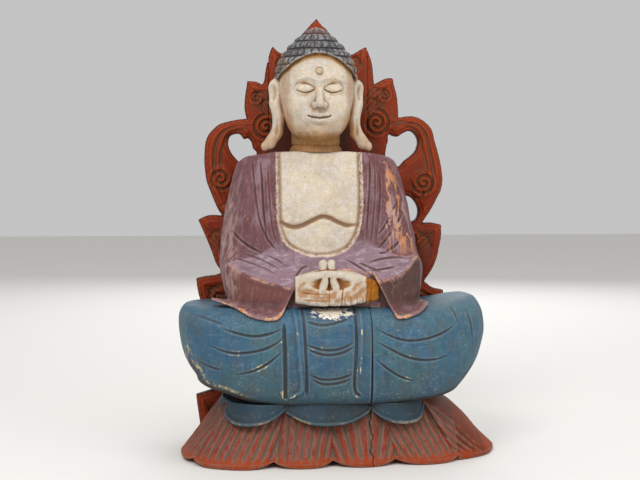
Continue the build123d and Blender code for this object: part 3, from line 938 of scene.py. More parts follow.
RIM_MAP.rims = np.minimum(RIM_MAP.inside(LEFT_RIM), RIM_MAP.inside(RIGHT_RIM))


def inner_of(x):
    """How far a place is past the cuff of its sleeve, towards the hands."""
    return np.where(x < 8, x - CUFF_LEFT, CUFF_RIGHT - x)


def sleeve_field(x, y, z):
    """Both forearms and the drape between them: a sloping top, an upright front, and a rim
    spread out on the lap."""
    face, edge = arm_front(x), arm_edge(x)
    top = edge + (SLEEVE_TOP - edge) * np.clip((y - face) / 34, 0, 1.0)
    d = smax((z - top) * 0.8, (face - y) * 0.95, 4.5)
    d = smax(d, np.maximum(body_left(z) + 1 - x, x - body_right(z) - 1), 22.0)
    folds = 0.52 * bell(z - edge + 8, 4) * ramp(-y, 40, 60)
    gouged = 1.7 * BODY_MAP.read("cut", x, z) * (z < SLEEVE_TOP)
    d = d + folds + gouged + 0.8 * wobble(x, y, z, 24, 12)
    rim = smax(RIM_MAP.read("rims", x, z), lap_field(x, y, z) - 5.5 - 5.0 * ramp(-x, 118, 146), 4.0)
    d = smin(d, smax(rim, y + 22, 2.0), 9.0)
    return smax(d, inner_of(x) - 0.5 * (z - 230) - 9 * np.maximum(y + 77, 0), 2.0)


def hands_field(x, y, z):
    """Folded hands: a block of fingers, an arch over it, and two broad thumbs that meet."""
    u = x - 7
    d = smax(z - 254 + 0.0042 * u**2, 0.0052 * u**2 - 103 - y, 7.0)
    d = smax(d, 208 - z + 0.0015 * u**2, 5.0)
    d = smax(smax(d, y + 62, 3.0), np.abs(u) - 64, 3.0)
    d = smax(d, -ellipsoid(x, y, z, (5, -104, 237.0), (34, 10, 8.5)), 2.0)
    for start, end, radii, fillet in (
        ((-6, -97, 224), (-2, -98.5, 242), (6.4, 4.8), 2.0),
        ((14, -97, 224), (8.4, -98.5, 242), (6.4, 4.8), 2.0),
        ((-3.2, -88, 248), (-3.2, -82, 262), (5.6, 5.2), 1.5),
        ((7.6, -88, 248), (7.6, -82, 262), (5.6, 5.2), 1.5),
    ):
        d = smin(d, limb(x, y, z, start, end, *radii), fillet)
    # grooves between the thumbs and the fingers, and at the wrist
    front = ramp(-y, 92, 98)
    d = d + 1.0 * bell(x - 3.2, 1.0) * front * (z < 245)
    d = d + 1.3 * bell(x - 20 - 0.1 * (z - 220), 1.1) * front * (z < 231)
    fingers = np.abs((z - 210.0 - 0.0012 * u**2) % 9.0 - 4.5)
    d = d + 0.8 * bell(fingers, 1.0) * ramp(np.abs(u + 20), 24, 14) * (z < 229) * ramp(-y, 90, 96)
    tips = np.abs((x - 28.0 + 0.15 * (z - 214)) % 8.0 - 4.0)
    d = d + 0.9 * bell(tips, 1.0) * ramp(np.abs(x - 40), 20, 14) * ramp(z, 224, 216) * ramp(-y, 84, 90)
    for wrist in (54.0, 60.0):
        d = d + 1.8 * bell(x - wrist - 0.12 * (z - 225), 1.3)
    return d + 0.5 * wobble(x, y, z, 15, 21)


def upper_field(x, y, z):
    return smin(body_field(x, y, z), sleeve_field(x, y, z), 9.0)


def torso_field(x, y, z):
    """The torso runs a little way in under the sleeves, so that no gap shows at the joint."""
    block = np.maximum(np.maximum(y - ARM_BACK, z - SLEEVE_TOP - 1), inner_of(x))
    d = smax(upper_field(x, y, z) + 0.4 * (block < 0), -block - 2.5, 0.15)
    return smax(d, LAP_TOP - z, 0.4)


def cut_sleeve(side):
    """The field of one forearm piece, cut from the whole at its joints."""

    def field(x, y, z):
        d = smax(upper_field(x, y, z), y - ARM_BACK, 0.4)
        d = smax(d, z - SLEEVE_TOP - 1, 0.15)
        d = smax(d, x - CUFF_LEFT if side < 0 else CUFF_RIGHT - x, 0.4)
        return smax(d, 0.2 - lap_field(x, y, z), 0.4)

    return field


def whole_hands_field(x, y, z):
    d = smax(hands_field(x, y, z), np.maximum(CUFF_LEFT - x, x - CUFF_RIGHT) + 0.2, 0.6)
    return smax(d, 0.2 - lap_field(x, y, z), 0.4)


def make_upper_body():
    layers = {
        "opening": lambda x, y, z: BODY_MAP.read("opening", x, z) + 40 * ramp(y, -24, -10) + 40 * (z < 266),
        "cut": lambda x, y, z: BODY_MAP.read("cut", x, z) * ramp(-y, 8, 30),
        "ledge": lambda x, y, z: (z - arm_edge(x)) + 200 * ramp(-y, 52, 40),
    }
    for node, field, low, high, step in (
        ("torso", torso_field, (-142, -94, 200), (142, 70, 416), STEPS["torso"]),
        ("forearm_left", cut_sleeve(-1), (-172, -122, 182), (-36, -20, 282), STEPS["sleeve"]),
        ("forearm_right", cut_sleeve(1), (64, -122, 182), (158, -20, 282), STEPS["sleeve"]),
    ):
        piece = carve(node + "_carved", field, low, high, step, layers, upper_field)
        present(piece, node, robe_paint)
    piece = carve("hands_carved", whole_hands_field, (-48, -118, 200), (80, -56, 274), STEPS["hands"])
    present(piece, "hands", hand_paint)


def robe_paint(p):
    tone, cut, opening = p.noise(48, 4), p.layer("cut"), p.layer("opening")
    ledge = p.ragged(p.layer("ledge"), 5.0, 9, 4)
    # painted light: the sloping top of the forearms is painted lighter, with pale mottling, and their upright
    # front darker, darkest on the right
    top = p.times(p.span(ledge, -1.0, 2.0), p.span(ledge, 60, 40))
    front = p.times(p.span(ledge, -1.5, -6.0), p.span(p.z, 204, 218, low=0.35))
    lit_top_mottle = p.span(p.noise(6, 5, 0.7, (0.5, 1, 1.4)), 0.5, 0.64, 0.7)
    mauve = p.coats(
        (112, 66, 70),
        (p.span(tone, 0.38, 0.62), (118, 80, 86)),
        (p.span(p.noise(8, 5, 0.65, (1.2, 1.2, 0.25)), 0.42, 0.66, 0.6), (94, 62, 64)),
        (p.span(p.noise(15, 5, 0.6, (1, 1, 0.4)), 0.5, 0.66, 0.7), (150, 122, 132)),
        # painted light on the top and painted shade on the front
        (p.times(top, 0.75), (148, 122, 134)),
        (p.times(front, 0.8), (116, 70, 64)),
        (p.times(front, p.span(p.x, 60, 84, 0.7)), (70, 54, 46)),
        (p.times(top, lit_top_mottle), (176, 160, 172)),
        (p.span(p.noise(5, 5, 0.75, (1.2, 1, 0.35)), 0.6, 0.66, 0.45), (192, 148, 122)),
        # painted shade in the carved folds of the robe
        (p.span(cut, 0.2, 0.9, 0.6), (82, 56, 52)),
    )
    colour, rough, height = worn_paint(
        p, mauve, (170, 138, 138), 0.4, wear=0.35, hollow_dirt_and_shade=0.5, under=(206, 160, 130)
    )
    # rubbed through to orange on the high folds at +X
    place = p.add(p.span(p.x, 76, 92), p.span(p.noise(11, 5, 0.6, (1.4, 1, 0.45), 0.8), 0.35, 0.7))
    rubbed = p.times(p.span(place, 1.24, 1.5, 0.85), p.span(p.z, 262, 290), p.span(p.y, -6, -26))
    # painted highlight: a pale orange line along the edge between the top and the front of the forearms
    ridge_highlight = p.times(p.span(ledge, -4.0, -1.5, 0.7), p.span(ledge, 1.0, -1.0))
    side = p.times(p.span(p.x, -108, -122, 0.55), p.span(p.noise(9, 5, 0.7, (1, 1, 0.4)), 0.46, 0.58))
    broken = p.ragged(opening, 13.0, 3.2, 5, 0.8)
    border = p.times(p.span(broken, -2.6, -1.4), p.span(broken, 2.6, 1.6))
    border = p.times(border, p.span(p.noise(7, 4, 0.7), 0.36, 0.56))
    colour = p.coats(
        colour,
        (rubbed, p.mix(p.span(tone, 0.4, 0.6), (204, 140, 96), (196, 156, 142))),
        (p.times(ridge_highlight, p.span(p.noise(12, 4, 0.7), 0.44, 0.56)), (198, 150, 120)),
        (side, (190, 156, 146)),
        (p.span(broken, 1.0, -0.4), flesh(p, cut)[0]),
        (p.times(border, 0.85), (214, 198, 178)),
        (p.times(p.span(opening, -7.0, -3.5, 0.6), p.span(opening, -1.0, -2.5)), (128, 92, 60)),
    )
    return p.finish(colour, rough, p.add(height, p.times(border, 0.8)))


def flesh(p, cut):
    """Cream ground with grey-white brushed over it and dirt in the small pits. Returns colour,
    roughness and bump height."""
    hollow = p.add(cut, p.times(p.broad, -0.5), p.times(p.fine, -0.6))
    pits = p.span(p.noise(2.2, 2, 0.8), 0.64, 0.7)
    cream = p.coats(
        (212, 198, 176),
        (p.span(p.noise(30, 4), 0.36, 0.64), (196, 184, 170)),
        (p.span(p.noise(9, 5, 0.65), 0.42, 0.78, 0.6), (204, 176, 132)),
        (p.span(p.noise(19, 5, 0.7), 0.5, 0.66, 0.55), (214, 206, 202)),
        (p.span(p.noise(2.2, 5, 0.75), 0.46, 0.7, 0.55), (176, 156, 128)),
        (p.span(p.noise(6.5, 5, 0.75), 0.44, 0.74, 0.5), (232, 228, 222)),
        # painted shade: ochre, then brown, in the hollows and carved lines
        (p.span(hollow, 0.12, 0.9, 0.7), (158, 112, 66)),
        (p.span(hollow, 0.85, 1.5, 0.6), (90, 56, 32)),
        (p.times(pits, 0.55), (110, 92, 76)),
    )
    rough = p.span(p.noise(4, 3), 0.3, 0.7, 0.75, low=0.5)
    return cream, rough, p.add(p.noise(2.6, 4, 0.7), p.times(pits, -0.6))


def hand_paint(p):
    colour, rough, height = flesh(p, p.times(p.broad, -0.5))
    hollow = p.add(p.times(p.broad, -0.8), p.times(p.fine, -0.5))
    # painted shade: ochre low on the hands and in their hollows, brown deeper in
    warm = p.add(p.span(p.z, 246, 228, 0.5), p.times(p.noise(7, 5, 0.65), 1.3), p.times(hollow, 0.6))
    wrist = p.add(p.span(p.x, 44, 56), p.times(p.noise(8, 4, 0.65), 0.8))
    # darker streaks towards the bottom of the hands
    low_dark_streaks = p.times(p.span(p.z, 222, 212, 0.5), p.span(p.noise(3, 4, 0.7, (1.4, 1, 0.4)), 0.46, 0.62))
    colour = p.coats(
        colour,
        (p.span(warm, 0.6, 1.15, 0.8), (170, 118, 66)),
        (p.span(hollow, 0.25, 1.1, 0.7), (124, 72, 26)),
        (low_dark_streaks, (92, 70, 50)),
        (p.span(wrist, 1.05, 1.35), p.mix(p.noise(4, 4), (190, 120, 24), (120, 66, 20))),
    )
    return p.finish(colour, rough, height)


# ---- head -----------------------------------------------------------------------------
HAIR_LOW_Z = 503.0
STUD_Z = (STUD_LOW[2] + STUD_HIGH[2]) / 2
HAIR_TIERS = 7
CURL_WIDTH = 9.5
HAIR_RADIUS = 54.0
HAIR_Y = -8               # middle of the dome of hair
STUD_RADII = (3.6, 6.5, 3.6)
EYE_X, EYE_Z = 18.4, 491.0


def hairline(x, y):
    """Height of the edge of the hair: high over the brow, low behind the ears."""
    return 538 - 0.0108 * (x - HEAD_X) ** 2 - 5 * ramp(y, -30, 6) - 56 * ramp(y, 6, 42)


def hair_field(x, y, z):
    """A dome of small curls in tiers, coming to a low knob."""
    rise = (z - HAIR_LOW_Z) / (HEAD_TOP - HAIR_LOW_Z)
    t = np.clip(rise, 0, 1.2)
    radius = HAIR_RADIUS * np.clip(1 - t**2.2, 0, 1) ** 0.96
    tier = rise * HAIR_TIERS
    row = np.floor(tier)
    narrowing = np.clip(1 - (np.maximum(row, 0) / HAIR_TIERS) ** 2.2, 0.02, 1)
    count = np.maximum(np.round(2 * math.pi * (HAIR_RADIUS - 2) * narrowing / CURL_WIDTH), 5)
    curl = np.abs(np.cos(0.5 * count * np.arctan2(x - HEAD_X, HAIR_Y - y) + 1.57 * row))
    bump = np.sin(math.pi * np.clip(tier - row, 0, 1)) ** 0.7 * (0.45 + 0.55 * curl**0.7)
    d = (np.hypot(x - HEAD_X, (y - HAIR_Y) * 0.96) - radius) * (0.55 + 0.45 * (1 - t)) - 2.6 * bump
    return smax(d, z - HEAD_TOP, 4.0)


def face_lines(u, z):
    """Fine lines of the face as distances in the front plane: lashes, lid folds and mouth."""
    e = u - EYE_X
    lid = np.hypot(np.maximum(np.abs(e) - 11.0, 0), z - (EYE_Z - 5.0 + 0.026 * e**2))
    fold = np.hypot(np.maximum(np.abs(e) - 11.5, 0), z - (EYE_Z + 6.5 - 0.036 * e**2))
    mouth = np.hypot(np.maximum(u - 14.5, 0), z - (453.0 + 0.011 * u**2 - 1.0 * bell(u, 3.5)))
    return lid, fold, mouth


def face_field(x, y, z):
    u = np.abs(x - HEAD_X)
    front = ramp(-y, 34, 48)
    d = ellipsoid(u, y, z, (0, -6, 503), (50, 54, 56))
    d = grow(d, u, y, z, (((0, -19, 478), (46, 43, 56), 14.0), ((0, -23, 452), (37, 36, 29), 14.0)))
    # brows that arch out of the nose, over shallow hollows with lowered lids, and cheeks
    d = d + 4.6 * bell(u - EYE_X, 13.5) * bell(z - EYE_Z, 9.5) * front
    d = d - 2.4 * bell(z - (505.5 - 0.019 * (u - 17) ** 2), 3.0) * ramp(u, 40, 30) * front
    lids = ((EYE_X, -51.5, EYE_Z - 0.5), (13.5, 9.5, 9.0), 2.0)
    d = grow(d, u, y, z, (lids, ((25, -46, 468), (17, 13, 15), 10.0)))
    # nose: a straight bridge, a round tip and small wings
    d = smin(d, limb(u, y, z, (0, -58, 503), (0, -69, 474), 3.8, 4.6), 4.5)
    d = grow(d, u, y, z, (((0, -70, 471), (5.6, 6.5, 5.2), 3.0), ((6.6, -64.5, 469.5), (4.0, 6.0, 4.0), 1.8)))
    d = smax(d, -ellipsoid(u, y, z, (3.7, -68.5, 465.6), (1.9, 3.0, 1.6)), 1.0)
    # the swell of the mouth, both lips, and the chin
    d = grow(d, u, y, z, (
        ((0, -54, 453), (20, 9.5, 12), 7.0),
        ((5.0, -62.3, 456.3), (10.0, 5.2, 3.6), 1.8),
        ((0, -62.0, 449.4), (11.5, 5.6, 4.2), 1.8),
        ((0, -49, 433.5), (14, 11.5, 10), 8.0),
    ))
    d = d + 0.9 * bell(u, 2.2) * bell(z - 461.8, 2.6) * front
    lid, fold, mouth = face_lines(u, z)
    socket = np.hypot(u, z - STUD_Z) - 4.6
    for line, width, depth in ((socket, 0.9, 1.3), (lid, 1.2, 1.7), (fold, 1.4, 0.6), (mouth, 1.3, 1.9)):
        d = d + depth * bell(line, width) * front
    return d


def ear_field(x, y, z):
    """Long ears with a hollow shell and lobes that turn out over the shoulders."""
    u = np.abs(x - HEAD_X)
    squeeze = 1.3             # the ears are flatter from side to side than from front to back
    path = np.array([
        (49, -6, 504), (55, -8, 494), (55, -10, 474), (51, -14, 452), (53, -16, 436), (62, -18, 422),
        (70, -18, 416),
    ]) * (squeeze, 1, 1)
    widths = [9, 11.5, 10.5, 10.0, 9.5, 9.0, 6.5]
    d = np.full(np.shape(u), 1e3, np.float32)
    for part in zip(path, path[1:], widths, widths[1:]):
        d = smin(d, limb(u * squeeze, y, z, *part) / squeeze, 2.5)
    for centre, radii in (((60, -19, 488), (6.5, 6.0, 12)), ((54, -26, 444), (3.0, 5.0, 17))):
        d = smax(d, -ellipsoid(u, y, z, centre, radii), 2.0)
    return d


def neck_field(x, y, z):
    radius = 33.0 + 3.0 * ramp(z, 418, 409) - 1.6 * bell(z - 417.5, 1.4)
    return smax(np.hypot(x - HEAD_X, (y + 2) * 1.02) - radius, z - 470, 2.0)


def head_field(x, y, z):
    skin = smin(face_field(x, y, z), neck_field(x, y, z), 3.5)
    skin = smin(skin, ear_field(x, y, z), 2.5)
    hair = smax(hair_field(x, y, z), hairline(x, y) - z, 2.0)
    return smax(smin(skin, hair, 0.8) + 0.25 * wobble(x, y, z, 16, 31), NECK_Z - OVERLAP - z, 0.5)


def face_shade(x, y, z):
    """Where the carver's finest lines run, for the painted shade that darkens them."""
    lid, fold, mouth = face_lines(np.abs(x - HEAD_X), z)
    return bell(np.minimum(np.minimum(lid, fold + 1.1), mouth), 1.3) * ramp(-y, 40, 50)


def stud_field(x, y, z):
    _, y_middle, z_middle = (STUD_LOW + STUD_HIGH) / 2
    return ellipsoid(x, y, z, (HEAD_X, y_middle, z_middle), STUD_RADII)


def make_head():
    layers = {
        "hair": lambda x, y, z: np.where(ear_field(x, y, z) < 1.0, -12, z - hairline(x, y)),
        "from_middle": lambda x, y, z: np.abs(x - HEAD_X),
        "line": face_shade,
    }
    low, high = (HEAD_X - 82, -84, NECK_Z - 3), (HEAD_X + 82, 54, HEAD_TOP + 3)
    piece = carve("head_carved", head_field, low, high, STEPS["head"], layers)
    present(piece, "head", head_paint)
    centre = (STUD_LOW + STUD_HIGH) / 2
    piece = carve("forehead_stud_carved", stud_field, centre - 9, centre + 9, STEPS["stud"])
    present(piece, "forehead_stud", stud_paint)


def head_paint(p):
    skin, rough, height = flesh(p, p.layer("line"))
    across = p.layer("from_middle")
    warm = p.add(p.span(p.z, 470, 425, 0.55), p.times(p.noise(14, 4), 0.5))
    warm = p.add(warm, p.span(across, 28, 42, 0.45), p.span(across, 46, 54, -0.5))
    neck = p.span(p.add(p.z, p.times(p.noise(9, 4), 14)), 444, 434)
    neck = p.times(neck, p.span(across, 50, 42))
    line = p.ragged(p.layer("hair"), 5.0, 5, 4, 0.7)
    skin = p.coats(
        skin,
        (p.span(warm, 0.35, 1.05, 0.85), (168, 120, 72)),
        (p.times(neck, 0.8), (150, 104, 48)),
        (p.times(neck, p.span(p.noise(5, 5, 0.7, (1.2, 1, 0.35)), 0.44, 0.62, 0.4)), (92, 62, 26)),
        (p.times(p.span(line, -9.0, -4.0, 0.8), p.span(across, 50, 40)), (170, 120, 58)),
    )
    # painted highlight on the raised curls of the hair
    tops = p.add(p.times(p.fine, 0.7), p.times(p.noise(3.5, 5, 0.7), 1.3), p.times(p.noise(10, 3), 0.6))
    temple = p.times(p.span(across, 34, 50), p.span(p.noise(7, 4, 0.65), 0.42, 0.6, 0.75))
    hair = p.coats(
        (60, 60, 64),
        (p.span(p.noise(16, 4), 0.4, 0.62), (86, 80, 78)),
        (p.span(tops, 1.12, 1.5, 0.85), (156, 156, 158)),
        # painted shade between the curls
        (p.span(p.fine, -0.15, -0.7, 0.8), (34, 30, 30)),
        (p.span(p.z, 558, 574, 0.45), (116, 76, 50)),
        (temple, (146, 116, 82)),
    )
    return p.finish(p.mix(p.span(line, -1.0, 0.8), skin, hair), rough, height)


def stud_paint(p):
    colour = p.coats(
        (222, 206, 176),
        (p.span(p.noise(3, 3), 0.44, 0.7), (176, 140, 96)),
        # painted shade: darker where the stud is least rounded
        (p.span(p.fine, 0.1, -0.4), (84, 54, 34)),
    )
    return p.finish(colour, p.span(p.noise(3, 2), 0.3, 0.7, 0.65, low=0.45), p.noise(1.5, 3))


# ---- flame panel ----------------------------------------------------------------------
# The outline as smooth runs down either side from the tip. A run starts at the last point of
# the one before it, and the runs meet in sharp corners.
PANEL_TIP = (2, 598)
PANEL_LEFT = [
    [(-6, 590), (-13, 582), (-26, 568), (-40, 552)],
    [(-46, 549), (-53, 552), (-60, 559)],
    [(-63, 553), (-67, 539), (-70, 525), (-72, 511), (-75, 505)],
    [(-84, 509), (-96, 510)],
    [(-97, 502), (-99, 489), (-100, 475), (-99, 465), (-97, 457)],
    [(-113, 455), (-126, 452), (-137, 448), (-148, 438), (-153, 430), (-156, 418), (-157, 397),
     (-156, 383), (-154, 369), (-149, 355), (-143, 340), (-138, 329), (-132, 320)],
    [(-146, 321), (-156, 319), (-166, 314)],
    [(-159, 298), (-153, 284), (-146, 266), (-141, 252), (-132, 239)],
    [(-141, 236), (-156, 234), (-169, 231)],
    [(-168, 220), (-165, 205), (-160, 194), (-148, 188)],
    [(-160, 185), (-172, 177)],
    [(-170, 155), (-162, 138), (-148, 128)],
    [(-160, 124), (-170, 114)],
    [(-168, 98), (-160, 84), (-144, 73)],
    [(-154, 70), (-170, 65)],
    [(-169, 54), (-167, 40), (-165, 25), (-163, 5)],
]
PANEL_RIGHT = [
    [(10, 588), (14, 585), (20, 578), (25, 570), (33, 562), (43, 551)],
    [(51, 548), (58, 551), (66, 556), (73, 559)],
    [(76, 551), (80, 540), (82, 529), (83, 517), (84, 506)],
    [(95, 512), (103, 515), (111, 515)],
    [(113, 505), (116, 495), (118, 483), (119, 469), (119, 459)],
    [(131, 461), (141, 461), (150, 458), (160, 451), (168, 441), (172, 426), (177, 409), (181, 390),
     (183, 369), (180, 354), (175, 344), (168, 330), (161, 319), (154, 309)],
    [(168, 309), (182, 306)],
    [(182, 289), (179, 274), (176, 260), (170, 245), (164, 235), (157, 225)],
    [(169, 216), (185, 212)],
    [(185, 202), (182, 194), (172, 188), (158, 184)],
    [(170, 184), (182, 176)],
    [(180, 150), (172, 136), (158, 128)],
    [(170, 124), (180, 114)],
    [(176, 92), (168, 82), (156, 74)],
    [(167, 70), (178, 62)],
    [(178, 40), (174, 20), (168, 5)],
]
PANEL_HOLES = [
    [(-107, 435), (-117, 434), (-122, 429), (-123, 419), (-119, 409), (-112, 400), (-104, 393), (-94, 392),
     (-86, 400), (-83, 409), (-88, 415), (-90, 423), (-95, 429), (-101, 428)],
    [(105, 435), (111, 433), (118, 432), (124, 436), (133, 440), (140, 438), (146, 430), (147, 421),
     (143, 411), (136, 404), (128, 398), (120, 390), (108, 390), (101, 399), (101, 412), (104, 426)],
    [(130, 347), (139, 344), (146, 334), (148, 325), (146, 316), (139, 311), (131, 312), (126, 322),
     (125, 336)],
]


def edge_path(runs):
    corners = [PANEL_TIP] + [run[-1] for run in runs]
    return np.vstack([smooth_path([corner, *run], parts=6) for corner, run in zip(corners, runs)])


def draw_panel():
    """Outline, pierced loops and carved veins, spirals and rosettes of the flame panel."""
    m = Relief(-180, 196, 0, 606, 0.75)
    ring = np.vstack([edge_path(PANEL_LEFT)[::-1], edge_path(PANEL_RIGHT)])
    ring = ring[np.r_[True, np.abs(np.diff(ring, axis=0)).sum(1) > 1e-6]]
    m.outline = m.inside_path(np.vstack([ring, ring[0]]), reach=24.0)
    for hole in PANEL_HOLES:
        m.outline = np.maximum(m.outline, -m.inside(hole, reach=24.0))
    depth_in = -m.outline
    # a line that follows every edge, and a rounded, thinner rim
    line = np.clip(1 - np.abs(depth_in - 5.5) / 2.0, 0, 1)
    m.height -= 1.1 * line
    m.cut = np.maximum(m.cut, 0.3 * line)
    m.height -= 5.0 * np.clip(1 - depth_in / 9.0, 0, 1) ** 2
    m.height += 2.5 * np.clip((depth_in - 6) / 16, 0, 1) ** 0.5
    leaves(m)
    scrolls(m)
    nicks(m, ring)
    return m


def leaves(m):
    """Veins fan out of each leaf's foot towards its tip."""
    for foot, tip, width in (
        ((-4, 552), (2, 592), 22), ((-34, 520), (-58, 553), 20), ((40, 520), (70, 553), 20),
        ((-62, 468), (-93, 504), 22), ((72, 470), (107, 509), 24),
        ((-118, 268), (-160, 309), 26), ((128, 262), (177, 301), 26),
        ((-118, 196), (-163, 226), 24), ((130, 190), (180, 208), 22),
        ((-116, 142), (-166, 172), 22), ((130, 142), (176, 171), 22),
        ((-116, 84), (-164, 108), 22), ((130, 84), (174, 108), 22),
        ((-118, 26), (-164, 60), 24), ((130, 26), (172, 57), 24),
    ):
        foot, tip = np.array(foot, float), np.array(tip, float)
        along = tip - foot
        across = width * np.array([-along[1], along[0]]) / np.linalg.norm(along)
        for k in (-1.0, -0.55, 0.0, 0.55, 1.0):
            places = ((-0.12, 0.42 * k), (0.5, 0.5 * k), (0.9 - 0.22 * abs(k), 0.2 * k))
            vein = [foot + a * along + b * across for a, b in places]
            m.stroke(vein, 4.2 - abs(k), 3.4 - 1.2 * abs(k), (0.2, 0.35), 0.3, mark=0.8)
        for reach in (0.32, 0.62):
            places = ((reach - 0.12, -0.4), (reach + 0.05, 0), (reach - 0.12, 0.4))
            m.stroke([foot + a * along + b * across for a, b in places], 2.6, 2.2, (0.3, 0.3))


def scrolls(m):
    """Spirals in the leaves and rounded bulbs where the loops curl in."""
    for centre, radius, turns, start, hand in (
        ((-70, 444), 19, 2.1, 1.2, 1), ((86, 451), 20, 2.1, 1.9, -1),
        ((-134, 372), 17, 1.8, 0.2, -1), ((154, 366), 17, 1.8, 2.9, 1),
        ((-120, 300), 13, 1.7, 0.6, -1), ((134, 286), 13, 1.7, 2.6, 1),
        ((-135, 204), 11, 1.6, 0.4, -1), ((150, 196), 11, 1.6, 2.7, 1),
        ((-134, 94), 12, 1.6, 0.4, -1), ((146, 94), 12, 1.6, 2.7, 1),
        ((-136, 36), 13, 1.7, 0.4, -1), ((148, 36), 13, 1.7, 2.7, 1),
        ((-26, 540), 10, 1.5, 0.5, 1), ((34, 540), 10, 1.5, 2.6, -1),
        ((-84, 486), 8, 1.4, 0.8, 1), ((98, 490), 8, 1.4, 2.2, -1),
    ):
        disc = np.hypot(m.x - centre[0], m.z - centre[1])
        m.height += 4.4 * np.clip(1 - disc / (radius + 3), 0, 1) ** 0.6
        m.stroke(spiral(centre, radius, turns, start, hand), 3.6, 4.6, (0.04, 0), 0.5, smooth=False)
    for x, z, radius in ((-97, 421, 8.5), (112, 424, 9.0), (-128, 330, 6), (146, 352, 7)):
        disc = np.hypot(m.x - x, m.z - z) / radius
        m.height += 2.6 * np.clip(1 - disc**2, 0, 1) ** 0.5 - 1.6 * bell(disc - 1.15, 0.16)
    # bands that run round the two loops
    for side, points in (
        (-1, [(-86, 447), (-112, 446), (-132, 436), (-141, 416), (-143, 392), (-140, 366), (-130, 340)]),
        (1, [(100, 450), (124, 452), (146, 448), (158, 432), (164, 408), (168, 384), (166, 362), (154, 334)]),
    ):
        for shift in (0, 9):
            path = [(px - side * shift, pz - 0.35 * shift) for px, pz in points]
            m.stroke(path, 4.4, 3.0 - 0.16 * shift, (0.2, 0.3), 0.2, mark=0.75)


def nicks(m, ring):
    """Short slanting nicks all along the outer edge, a hand's count of them to each leaf."""
    length = np.r_[0, np.cumsum(np.hypot(*np.diff(ring, axis=0).T))]
    rng = np.random.default_rng(4)
    place = 4.0
    while place < length[-1] - 4:
        at, ahead = (np.array([np.interp(s, length, ring[:, a]) for a in (0, 1)]) for s in (place, place + 1))
        run = ahead - at
        inward = np.array([run[1], -run[0]]) / max(np.linalg.norm(run), 1e-6)
        if at[1] > PANEL_FOOT + 3:
            slant = 5.625 * inward + 1.875 * run
            m.stroke([at - 2 * inward, at + slant], 1.9, 2.2, (0, 0.7), 0.8, smooth=False, mark=0.7)
        place += rng.uniform(7.0, 10.5)


PANEL_MAP = draw_panel()


def panel_field(x, y, z):
    swell = 2.0 * np.sin(x * 0.055 + 1.0) * np.sin(z * 0.048)
    front = PANEL_FRONT + 6.0 - PANEL_MAP.read("height", x, z) - swell - y
    flat = (np.abs(x - PANEL_TIP[0]) < np.where(z < LAP_TOP + 60, 118, 96)) & (z < NECK_Z - 6)
    front = np.where(flat, PANEL_FRONT + 0.3 - y, front)
    back = y - PANEL_BACK + 0.5 * np.abs(np.sin(x * 0.21 + 0.6 * np.sin(z * 0.03))) ** 4
    d = smax(PANEL_MAP.read("outline", x, z) * 0.95, front * 0.85, 2.0)
    d = smax(smax(d, back, 2.2), PANEL_FRONT - y, 0.4)
    return smax(d, PANEL_FOOT - z, 1.0)


def make_panel():
    layers = {
        "cut": lambda x, y, z: PANEL_MAP.read("cut", x, z) * ramp(y - PANEL_FRONT, 14, 8),
        "rim": lambda x, y, z: PANEL_MAP.read("outline", x, z),
    }
    for node, x_low, x_high in (
        ("panel_board_left", -176, SEAM_LEFT),
        ("panel_board_middle", SEAM_LEFT, SEAM_RIGHT),
        ("panel_board_right", SEAM_RIGHT, 192),
    ):

        def field(x, y, z):
            return smax(panel_field(x, y, z), np.maximum(x_low + 0.12 - x, x - x_high + 0.12), 0.7)

        low, high = (x_low - 4, PANEL_FRONT - 4, 0), (x_high + 4, PANEL_BACK + 4, 604)
        piece = carve(node + "_carved", field, low, high, STEPS["panel"], layers, panel_field)
        present(piece, node, panel_paint)


RAILS = ("rear_batten_upper", "rear_batten_lower")
RAIL_BACK = box_mm(RAILS[0])[1][1]
FIGURE_SCREWS_X = (-60.0, -8.0, 44.0)
WING_SCREWS_X = (-108.0, 116.0)
SCREW_HEAD_RADIUS = 4.9
SCREW_SHANK_RADIUS = 2.3
SCREW_SUNK = 0.4          # how far the heads lie below the face of the rail
HOLE_RADIUS = 5.4


def make_rails():
    """Two sawn rails across the back, drilled and countersunk for their screws."""
    for node in RAILS:
        low, high = box_mm(node)
        middle, half = (low + high) / 2, (high - low) / 2
        def field(x, y, z):
            saw = 0.25 * np.sin(x * 1.1 + 0.04 * z) + 0.3 * wobble(x, y, z, 22, 7)
            d = smax(np.abs(x - middle[0]) - half[0], np.abs(z - middle[2]) - half[2] + saw, 1.6)
            d = smax(d, np.abs(y - middle[1]) - half[1] + 0.5 * np.maximum(saw, 0), 1.6)
            d = smax(d, PANEL_BACK - y, 0.3)
            for px in FIGURE_SCREWS_X + WING_SCREWS_X:
                sunk = HOLE_RADIUS + 1.5 * np.maximum(RAIL_BACK - 3.2 - y, 0)
                d = np.maximum(d, sunk - np.hypot(x - px, z - middle[2]))
            return d

        piece = carve(node + "_carved", field, low - 3, high + 3, STEPS["rail"])
        present(piece, node, rail_wood)


def screw_field(x, y, z):
    """A slotted countersunk screw that points along Y, with its head's face at 0."""
    r = np.hypot(x, z)
    head = smax(r - SCREW_HEAD_RADIUS - np.minimum(y, 0) * 0.9, np.abs(y + 1.5) - 1.5, 0.4)
    shank = smax(r - SCREW_SHANK_RADIUS, np.abs(y + 7) - 7, 0.3)
    slot = np.maximum(np.abs(x) - 0.6, -y - 1.2)
    return smax(smin(head, shank, 0.4), -slot, 0.3)


